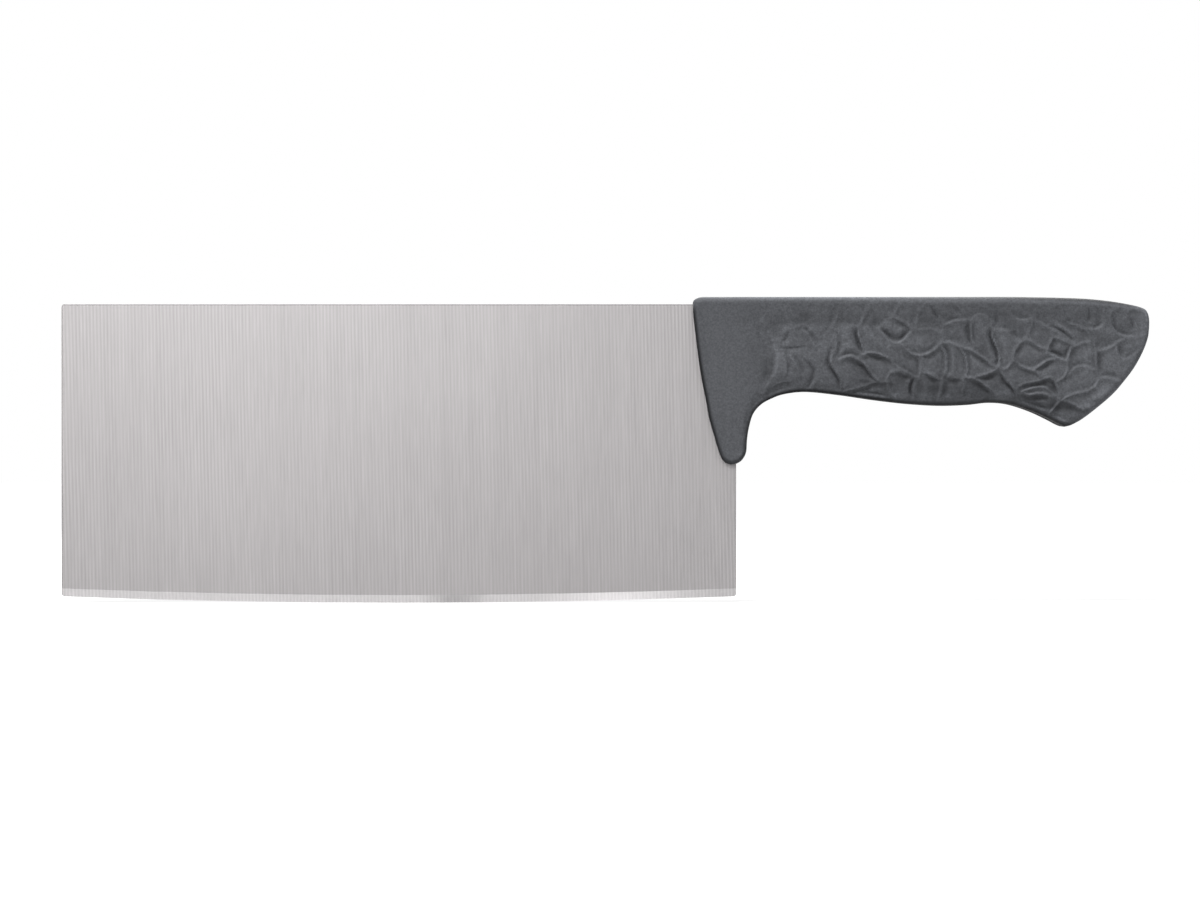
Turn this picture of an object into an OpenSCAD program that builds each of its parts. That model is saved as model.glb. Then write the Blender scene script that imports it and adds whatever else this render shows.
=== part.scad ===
// Kitchen cleaver: a tall ground blade whose tang is moulded into a one-piece soft grip.
// Millimetres. +X runs along the handle towards the butt, +Z up to the spine, the edge is down,
// and Y = 0 is the middle plane of the blade. The origin is under the middle of the whole length,
// level with the lowest point of the cutting edge.

/* [Blade] */
// Length of the blade from its front end to its heel
blade_len = 209; // [180:1:230]
// Height from the lowest point of the edge to the spine
blade_h = 92.5; // [85:0.5:110]
// How far the middle of the curved edge lies below its two ends
edge_drop = 2; // [1:0.25:5]
// Radius of the blade's corners in side view
corner_r = 0.9; // [0.5:0.1:4]
// Thickness of the ground blade at the spine
spine_t = 2.1; // [1.6:0.1:2.2]
// Thickness of the ground blade where the edge bevel starts
shoulder_t = 0.9; // [0.6:0.1:1.4]
// Height of the edge bevel
bevel_h = 2.4; // [1.5:0.1:5]
// Thickness left at the very edge
edge_t = 0.1; // [0.05:0.05:0.3]
// Width of the broken corners along the spine
spine_chamfer = 0.2; // [0.1:0.05:0.4]

/* [Tang] */
// Thickness of the steel that is left unground in the handle
blank_t = 2.3; // [2.3:0.1:3.5]
// Height of the tang
tang_h = 15; // [10:0.5:16]
// Radius of the tang's corners
tang_r = 3; // [1:0.5:4.5]
// Diameter of the tang's locking holes
lock_hole_d = 7; // [4:0.5:8]
// Number of locking holes
lock_hole_count = 3; // [2:1:4]
// How far the steel stays unground in front of the handle
grind_stop = 0.3; // [0.1:0.1:1]

/* [Handle] */
// Length of the handle
handle_len = 140.5; // [130:0.5:150]
// Depth of the finger guard below the top of the handle
guard_drop = 51.7; // [48:0.1:56]
// How far the handle reaches over the blade in front of the heel
blade_cover = 13.3; // [12.5:0.1:14.5]
// Height of the top of the handle above the spine
spine_step = 2.1; // [1:0.1:4]

/* [Handle thickness] */
// Thickness of the smooth bolster and of the finger guard
bolster_t = 17; // [15:0.5:20]
// Thickness of the grip behind the bolster, where the first finger lies
waist_t = 18.5; // [17:0.5:22]
// Thickness of the grip at the middle of the palm
belly_t = 22.5; // [19:0.5:26]
// Thickness of the grip at the butt
butt_t = 20.5; // [18:0.5:24]
// Radius along the edges of the bolster and guard
bolster_edge_r = 1.8; // [1:0.1:2.5]
// Height over which the grip's sides round off into its underside
under_round_h = 7; // [2:0.25:9]
// Height over which the grip's sides round off into its top
top_round_h = 2; // [1.5:0.25:6]
// Width that stays flat along the grip's underside
under_flat_w = 14; // [8:0.5:15]
// Width that stays flat along the top of the grip
top_flat_w = 15; // [8:0.5:16]
// Radius along the edge of the butt
butt_edge_r = 1.5; // [0.8:0.1:2.5]
// How far the grip's sides bulge across their height
side_crown = 0.6; // [0:0.1:1.2]

/* [Core] */
// Thickness of the hard core
core_t = 11; // [9:0.5:12]
// Soft wall in front of the core
front_wall = 8; // [6:0.5:12]
// Soft wall between the core and the butt
butt_wall = 14; // [12:0.5:20]
// Soft wall above the core
top_wall = 5; // [4:0.25:6]
// Soft wall below the core, at the thinnest place of the grip
under_wall = 4.5; // [3.5:0.25:5]
// Radius of the core's corners
core_r = 4; // [2:0.5:6]
// Length of core beyond the end of the tang
core_past_tang = 12; // [6:1:20]
// Width of the grooves round the core that hold the soft skin
groove_w = 5; // [3:0.5:7]
// Depth of those grooves
groove_depth = 1.2; // [0.6:0.1:2]
// Number of those grooves
groove_count = 4; // [2:1:5]

/* [Hidden] */

// Overrun of the cuts
over = 1;
// Facets of round corners, and facets to a full turn of the very large edge arc
corner_facets = 48;
edge_facets = 2000;
// Steps along the outline's curves and between the grip's columns, as shares of a station
curve_step_share = 0.25;
column_step_share = 0.5;

// Overall length, and the places of the tip, the heel, the handle's front and its top
overall_len = blade_len + handle_len - blade_cover;
tip_x = -overall_len / 2;
heel_x = tip_x + blade_len;
front_x = heel_x - blade_cover;
top_z = blade_h + spine_step;

// Radius of the cutting edge's arc, whose centre is above the middle of the blade
edge_r = (pow(blade_len / 2, 2) + pow(edge_drop, 2)) / (2 * edge_drop);
edge_mid_x = tip_x + blade_len / 2;
edge_half_angle = asin(blade_len / 2 / edge_r);

// The grip's thinnest height, as a share of the guard's drop
waist_share = 0.564;

// Hard core inside the grip, and the tang inside the core
core_x = front_x + front_wall;
core_len = handle_len - front_wall - butt_wall;
core_high_z = top_z - top_wall;
core_low_z = top_z - waist_share * guard_drop + under_wall;
tang_len = core_x + core_len - core_past_tang - heel_x;
tang_mid_z = (core_low_z + core_high_z) / 2;

// Stations along the handle. Each has a foot on the underside and a head on the top, as a share
// of the handle's length from its front and a share of the guard's drop from its top.
foot_shares = [
    [0.067, 0.982], [0.075, 0.995], [0.085, 1], [0.097, 0.992], [0.108, 0.97],
    [0.116, 0.925], [0.118, 0.853], [0.122, 0.781], [0.131, 0.7], [0.148, 0.643],
    [0.17, 0.607], [0.201, 0.577], [0.249, 0.564], [0.32, 0.583], [0.399, 0.614],
    [0.47, 0.636], [0.54, 0.647], [0.602, 0.642], [0.65, 0.629], [0.695, 0.64],
    [0.743, 0.681], [0.783, 0.731], [0.805, 0.762], [0.818, 0.772], [0.829, 0.765]
];
head_shares = [
    [0.008, 0.008], [0.015, 0.002], [0.024, 0], [0.035, 0], [0.046, 0],
    [0.057, 0], [0.071, 0], [0.084, 0], [0.099, 0], [0.119, 0],
    [0.148, 0], [0.187, 0], [0.24, 0], [0.315, 0], [0.399, 0],
    [0.474, 0], [0.549, 0], [0.62, 0], [0.684, 0], [0.743, 0.002],
    [0.8, 0.005], [0.858, 0.011], [0.906, 0.023], [0.946, 0.04], [0.972, 0.055]
];
// The front of the bolster and the end of the butt, each from its foot to its head
front_shares = [
    [0.067, 0.982], [0.06, 0.949], [0.052, 0.883], [0.043, 0.799], [0.035, 0.721],
    [0.028, 0.614], [0.019, 0.494], [0.011, 0.35], [0.004, 0.194], [0, 0.098],
    [0, 0.044], [0.002, 0.02], [0.008, 0.008]
];
butt_shares = [
    [0.829, 0.765], [0.853, 0.729], [0.886, 0.661], [0.92, 0.581], [0.946, 0.5],
    [0.968, 0.419], [0.986, 0.329], [0.997, 0.248], [1, 0.188], [1, 0.128],
    [0.995, 0.086], [0.986, 0.067], [0.972, 0.055]
];
// Rows across the grip from foot to head, closest together over the rounded edges
row_shares = [
    0, 0.012, 0.04, 0.085, 0.15, 0.24, 0.35, 0.46, 0.57, 0.68, 0.78, 0.86, 0.92, 0.965, 0.99, 1
];
// Extra columns over the rounded front and butt, as shares of the first and last span
front_column_shares = [0, 0.15, 0.5, 1, 1.6];
butt_column_shares = [1.6, 1, 0.5, 0.15, 0];

// Thickness of the grip, evenly spaced along the length of the handle
thickness_run = [bolster_t, bolster_t, waist_t, belly_t, belly_t, butt_t];

// Height of the grip's rounding and width of its flat rim along the underside and the top, evenly
// spaced over the stations
bolster_flat_w = bolster_t - 2 * bolster_edge_r;
butt_flat_w = butt_t - 2 * butt_edge_r;
under_round_run = [bolster_edge_r, bolster_edge_r, for (i = [1 : 3]) under_round_h, butt_edge_r];
top_round_run = [bolster_edge_r, bolster_edge_r, for (i = [1 : 3]) top_round_h, butt_edge_r];
under_flat_run = [bolster_flat_w, bolster_flat_w, for (i = [1 : 3]) under_flat_w, butt_flat_w];
top_flat_run = [bolster_flat_w, bolster_flat_w, for (i = [1 : 3]) top_flat_w, butt_flat_w];

// Point at place t on the smooth curve through the points of p
function curve(p, t) =
    let (
        last = len(p) - 1,
        i = max(0, min(floor(t), last - 1)),
        f = t - i,
        a = p[max(i - 1, 0)],
        b = p[i],
        c = p[i + 1],
        d = p[min(i + 2, last)]
    )
    (2 * b + (c - a) * f + (2 * a - 5 * b + 4 * c - d) * f * f + (3 * b - a - 3 * c + d) * f * f * f) / 2;

// Point at share s of the whole curve
function along(p, s) = curve(p, s * (len(p) - 1));

// Point of a curve that rises steadily from foot to head, at share v of its height
function at_height(p, v) =
    let (
        last = len(p) - 1,
        rise = [for (i = [0 : last]) [(p[0].y - p[i].y) / (p[0].y - p[last].y), i]]
    )
    curve(p, lookup(v, rise));

// Place of a share point in side view, X and Z
function placed(p) = [front_x + p.x * handle_len, top_z - p.y * guard_drop];

// The same points in the other order
function backwards(p) = [for (i = [len(p) - 1 : -1 : 0]) p[i]];

// Closed outline of the handle in side view, from the guard's tip along the underside
function outline_places() = [
    for (p = [foot_shares, butt_shares, backwards(head_shares), backwards(front_shares)])
        for (t = [0 : curve_step_share : len(p) - 1 - curve_step_share])
            placed(curve(p, t))
];

// Distance from point q to the line piece from a to b
function piece_distance(q, a, b) =
    let (
        run = b - a,
        f = max(0, min(1, (q - a) * run / (run * run)))
    )
    norm(q - a - run * f);

// Distance from point q to the closed outline
function rim_distance(q, rim) = min([
    for (i = [0 : len(rim) - 1]) piece_distance(q, rim[i], rim[(i + 1) % len(rim)])
]);

// Side-view place of the grip's surface at column u and row v: the four edge curves, blended
function skin_place(u, v) =
    let (
        s = u / (len(foot_shares) - 1),
        foot = curve(foot_shares, u),
        head = curve(head_shares, u),
        front = at_height(front_shares, v),
        butt = at_height(butt_shares, v),
        corners = (1 - s) * (1 - v) * foot_shares[0] + (1 - s) * v * head_shares[0]
            + s * (1 - v) * butt_shares[0] + s * v * butt_shares[len(butt_shares) - 1]
    )
    placed((1 - v) * foot + v * head + (1 - s) * front + s * butt - corners);

// Half thickness of the grip at column u and row v, whose place p lies at some depth inside the
// rim: sides with a slight crown, then a quarter of an ellipse down to the flat rim
function half_thickness(u, v, p, depth) =
    let (
        s = u / (len(foot_shares) - 1),
        share = max(0, min(1, (p.x - front_x) / handle_len)),
        round_h = (1 - v) * along(under_round_run, s) + v * along(top_round_run, s),
        rim_y = ((1 - v) * along(under_flat_run, s) + v * along(top_flat_run, s)) / 2,
        side_y = along(thickness_run, share) / 2 + side_crown * share * 4 * v * (1 - v),
        left = 1 - min(depth / round_h, 1)
    )
    rim_y + (side_y - rim_y) * sqrt(1 - left * left);

// Columns along the grip
function columns() =
    let (last = len(foot_shares) - 1)
    concat(
        front_column_shares,
        [for (u = [2 : column_step_share : last - 2]) u],
        [for (c = butt_column_shares) last - c]
    );

// The soft grip's outside as one closed skin: front and back sheets joined along their rim
module grip_skin() {
    rim = outline_places();
    cols = columns();
    rows = len(row_shares);
    sheet = [
        for (u = cols)
            for (v = row_shares)
                let (p = skin_place(u, v), edge = rim_distance(p, rim))
                [p.x, half_thickness(u, v, p, edge), p.y]
    ];
    back = len(sheet);
    behind = [back, back, back];
    function at(i, j) = i * rows + j;
    points = concat([for (p = sheet) [p.x, -p.y, p.z]], sheet);
    cells = [
        for (i = [0 : len(cols) - 2])
            for (j = [0 : rows - 2])
                [at(i, j), at(i + 1, j), at(i + 1, j + 1), at(i, j + 1)]
    ];
    edge_run = concat(
        [for (i = [0 : len(cols) - 1]) at(i, 0)],
        [for (j = [1 : rows - 1]) at(len(cols) - 1, j)],
        [for (i = [len(cols) - 2 : -1 : 0]) at(i, rows - 1)],
        [for (j = [rows - 2 : -1 : 1]) at(0, j)]
    );
    faces = concat(
        [for (c = cells) each [[c[2], c[1], c[0]], [c[3], c[2], c[0]]]],
        [for (c = cells) each [[c[0], c[1], c[2]] + behind, [c[0], c[2], c[3]] + behind]],
        [
            for (k = [0 : len(edge_run) - 1])
                let (a = edge_run[k], b = edge_run[(k + 1) % len(edge_run)])
                each [[a, b, b + back], [a, b + back, a + back]]
        ]
    );
    polyhedron(points, faces);
}

// Side-view solid through the whole thickness t, from a 2D shape drawn in X and Z
module slab(t) {
    translate([0, t / 2, 0])
        rotate([90, 0, 0])
            linear_extrude(height = t)
                children();
}

// Rectangle between two corners with round corners
module round_rect(low, high, r) {
    translate([low.x + r, low.y])
        square([high.x - low.x - 2 * r, high.y - low.y]);
    translate([low.x, low.y + r])
        square([high.x - low.x, high.y - low.y - 2 * r]);
    for (x = [low.x + r, high.x - r])
        for (z = [low.y + r, high.y - r])
            translate([x, z])
                circle(r = r, $fn = corner_facets);
}

// Side view of the blade before its edge is curved. The lower corners are round where they
// meet the edge's arc.
module blade_side() {
    lower_z = edge_r - sqrt(pow(edge_r - corner_r, 2) - pow(blade_len / 2 - corner_r, 2));
    translate([tip_x + corner_r, 0])
        square([blade_len - 2 * corner_r, blade_h]);
    translate([tip_x, lower_z])
        square([blade_len, blade_h - lower_z - corner_r]);
    for (x = [tip_x + corner_r, heel_x - corner_r])
        for (z = [lower_z, blade_h - corner_r])
            translate([x, z])
                circle(r = corner_r, $fn = corner_facets);
}

// The steel that stays unground: the handle's outline, moved ahead by the grind's stopping distance
module unground_side() {
    translate([-grind_stop, -grind_stop])
        polygon(outline_places());
}

// Wedge-shaped cross-section of the ground blade, drawn in Y and Z
module wedge() {
    spine_y = spine_t / 2;
    shoulder_y = shoulder_t / 2;
    taper = (spine_y - shoulder_y) / (blade_h - bevel_h);
    foot_y = shoulder_y - taper * bevel_h;
    chamfer_y = spine_y - taper * spine_chamfer;
    polygon([
        [-foot_y, 0], [foot_y, 0],
        [chamfer_y, blade_h - spine_chamfer], [spine_y - spine_chamfer, blade_h],
        [spine_chamfer - spine_y, blade_h], [-chamfer_y, blade_h - spine_chamfer]
    ]);
}

// Very large disc whose rim is the curved cutting edge with its two bevels
module edge_disc() {
    bevel_slope = (shoulder_t - edge_t) / 2 / bevel_h;
    wide_y = blank_t;
    wide_r = edge_r - (wide_y - edge_t / 2) / bevel_slope;
    inner_r = edge_r - blade_h - over;
    translate([edge_mid_x, 0, edge_r])
        rotate([90, 0, 0])
            rotate([0, 0, -90 - edge_half_angle * 2])
                rotate_extrude(angle = edge_half_angle * 4, $fn = edge_facets)
                    polygon([
                        [inner_r, -wide_y], [wide_r, -wide_y], [edge_r, -edge_t / 2],
                        [edge_r, edge_t / 2], [wide_r, wide_y], [inner_r, wide_y]
                    ]);
}

// Side view of the tang's holes or of anything else that repeats along it
module along_tang() {
    for (i = [0 : lock_hole_count - 1])
        translate([heel_x + (i + 0.5) * tang_len / lock_hole_count, tang_mid_z])
            children();
}

// Everything of the blank that the handle hides: the unground end of the blade and the tang
module blank() {
    slab(blank_t)
        difference() {
            union() {
                intersection() {
                    blade_side();
                    unground_side();
                }
                round_rect(
                    [heel_x - 2 * tang_r, tang_mid_z - tang_h / 2],
                    [heel_x + tang_len, tang_mid_z + tang_h / 2],
                    tang_r
                );
            }
            along_tang()
                circle(d = lock_hole_d, $fn = corner_facets);
        }
}

// Outside of the hard core, with its grooves
module core_block() {
    difference() {
        slab(core_t)
            round_rect([core_x, core_low_z], [core_x + core_len, core_high_z], core_r);
        for (i = [1 : groove_count])
            translate([core_x + i * core_len / (groove_count + 1), 0, 0])
                core_groove();
    }
}

// One groove right round the core
module core_groove() {
    ring_h = core_high_z - core_low_z + 2 * over;
    difference() {
        translate([-groove_w / 2, -core_t / 2 - over, core_low_z - over])
            cube([groove_w, core_t + 2 * over, ring_h]);
        translate([-groove_w, -core_t / 2 + groove_depth, core_low_z + groove_depth])
            cube([2 * groove_w, core_t - 2 * groove_depth, core_high_z - core_low_z - 2 * groove_depth]);
    }
}

// Ground, bevelled and tapered blade with its flat tang
module blade() {
    color([0.77, 0.77, 0.76]) {
        difference() {
            intersection() {
                slab(2 * blank_t)
                    blade_side();
                translate([tip_x - over, 0, 0])
                    rotate([90, 0, 90])
                        linear_extrude(height = blade_len + 2 * over)
                            wedge();
                edge_disc();
            }
            slab(2 * blank_t)
                unground_side();
        }
        blank();
    }
}

// Hard core moulded round the tang; its studs fill the tang's holes
module handle_core() {
    color([0.2, 0.21, 0.22])
        difference() {
            core_block();
            blank();
        }
}

// Soft one-piece grip with bolster and finger guard, moulded over the core and the blade's end
module grip() {
    color([0.33, 0.345, 0.36])
        difference() {
            grip_skin();
            core_block();
            blank();
        }
}

blade();
handle_core();
grip();
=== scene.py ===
"""Looks of a kitchen cleaver: brushed blade steel, a moulded soft grip with its hammered relief,
the hidden hard core, and a plain studio. Lengths are in metres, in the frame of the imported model:
+X runs towards the butt of the handle, +Z up to the spine, and Y = 0 is the blade's middle plane."""

import math

import bpy
import numpy as np
from bpy.props import FloatProperty, FloatVectorProperty, IntProperty, PointerProperty
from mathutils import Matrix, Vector


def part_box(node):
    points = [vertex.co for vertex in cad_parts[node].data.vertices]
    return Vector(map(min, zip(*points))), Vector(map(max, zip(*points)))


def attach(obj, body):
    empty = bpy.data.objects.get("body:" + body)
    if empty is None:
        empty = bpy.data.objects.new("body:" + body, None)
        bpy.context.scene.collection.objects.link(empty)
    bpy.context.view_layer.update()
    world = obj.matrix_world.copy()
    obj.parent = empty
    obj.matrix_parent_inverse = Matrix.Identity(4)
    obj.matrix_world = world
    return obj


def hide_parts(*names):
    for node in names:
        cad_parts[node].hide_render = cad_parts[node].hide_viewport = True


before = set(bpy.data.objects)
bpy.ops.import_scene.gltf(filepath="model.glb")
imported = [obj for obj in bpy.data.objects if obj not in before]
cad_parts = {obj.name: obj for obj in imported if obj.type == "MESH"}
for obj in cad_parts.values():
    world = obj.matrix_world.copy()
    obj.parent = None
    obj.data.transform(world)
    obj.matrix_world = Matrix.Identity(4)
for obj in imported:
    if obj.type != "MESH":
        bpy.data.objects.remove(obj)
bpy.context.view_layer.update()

bl_info = {
    "name": "Kitchen cleaver looks",
    "version": (1, 0, 0),
    "blender": (4, 5, 0),
    "location": "3D View > Sidebar > Cleaver",
    "description": "Blade finish, moulded grip, hard core and studio for a kitchen cleaver",
    "category": "Object",
}

GRIP_LOW, GRIP_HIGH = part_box("grip")
BLADE_LOW, BLADE_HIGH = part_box("blade")

# Millimetre in metres
MM = 0.001
# Smallest divisor
TINY = 1e-12

# The photograph's frame in pixels, and what one of its pixels is worth on the object
PHOTO_WIDTH_PX = 1200
PHOTO_MIDDLE_PX = (600.0, 450.0)
PIXEL = 0.31 * MM
# Distance of the photograph's camera from the object's middle, in metres
PHOTO_DISTANCE = 1.7
# Photograph pixels of the handle's front and of the handle's straight top
HANDLE_FRONT_PX = 693.0
HANDLE_TOP_PX = 297.6

# Stations along the handle. Each has a foot on the underside and a head on the top, as a share
# of the handle's length from its front and a share of the guard's drop from its top.
FOOT_SHARES = (
    (0.067, 0.982), (0.075, 0.995), (0.085, 1.0), (0.097, 0.992), (0.108, 0.97),
    (0.116, 0.925), (0.118, 0.853), (0.122, 0.781), (0.131, 0.7), (0.148, 0.643),
    (0.17, 0.607), (0.201, 0.577), (0.249, 0.564), (0.32, 0.583), (0.399, 0.614),
    (0.47, 0.636), (0.54, 0.647), (0.602, 0.642), (0.65, 0.629), (0.695, 0.64),
    (0.743, 0.681), (0.783, 0.731), (0.805, 0.762), (0.818, 0.772), (0.829, 0.765),
)
HEAD_SHARES = (
    (0.008, 0.008), (0.015, 0.002), (0.024, 0.0), (0.035, 0.0), (0.046, 0.0),
    (0.057, 0.0), (0.071, 0.0), (0.084, 0.0), (0.099, 0.0), (0.119, 0.0),
    (0.148, 0.0), (0.187, 0.0), (0.24, 0.0), (0.315, 0.0), (0.399, 0.0),
    (0.474, 0.0), (0.549, 0.0), (0.62, 0.0), (0.684, 0.0), (0.743, 0.002),
    (0.8, 0.005), (0.858, 0.011), (0.906, 0.023), (0.946, 0.04), (0.972, 0.055),
)
# The front of the bolster and the end of the butt, each from its foot to its head
FRONT_SHARES = (
    (0.067, 0.982), (0.06, 0.949), (0.052, 0.883), (0.043, 0.799), (0.035, 0.721),
    (0.028, 0.614), (0.019, 0.494), (0.011, 0.35), (0.004, 0.194), (0.0, 0.098),
    (0.0, 0.044), (0.002, 0.02), (0.008, 0.008),
)
BUTT_SHARES = (
    (0.829, 0.765), (0.853, 0.729), (0.886, 0.661), (0.92, 0.581), (0.946, 0.5),
    (0.968, 0.419), (0.986, 0.329), (0.997, 0.248), (1.0, 0.188), (1.0, 0.128),
    (0.995, 0.086), (0.986, 0.067), (0.972, 0.055),
)

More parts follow.
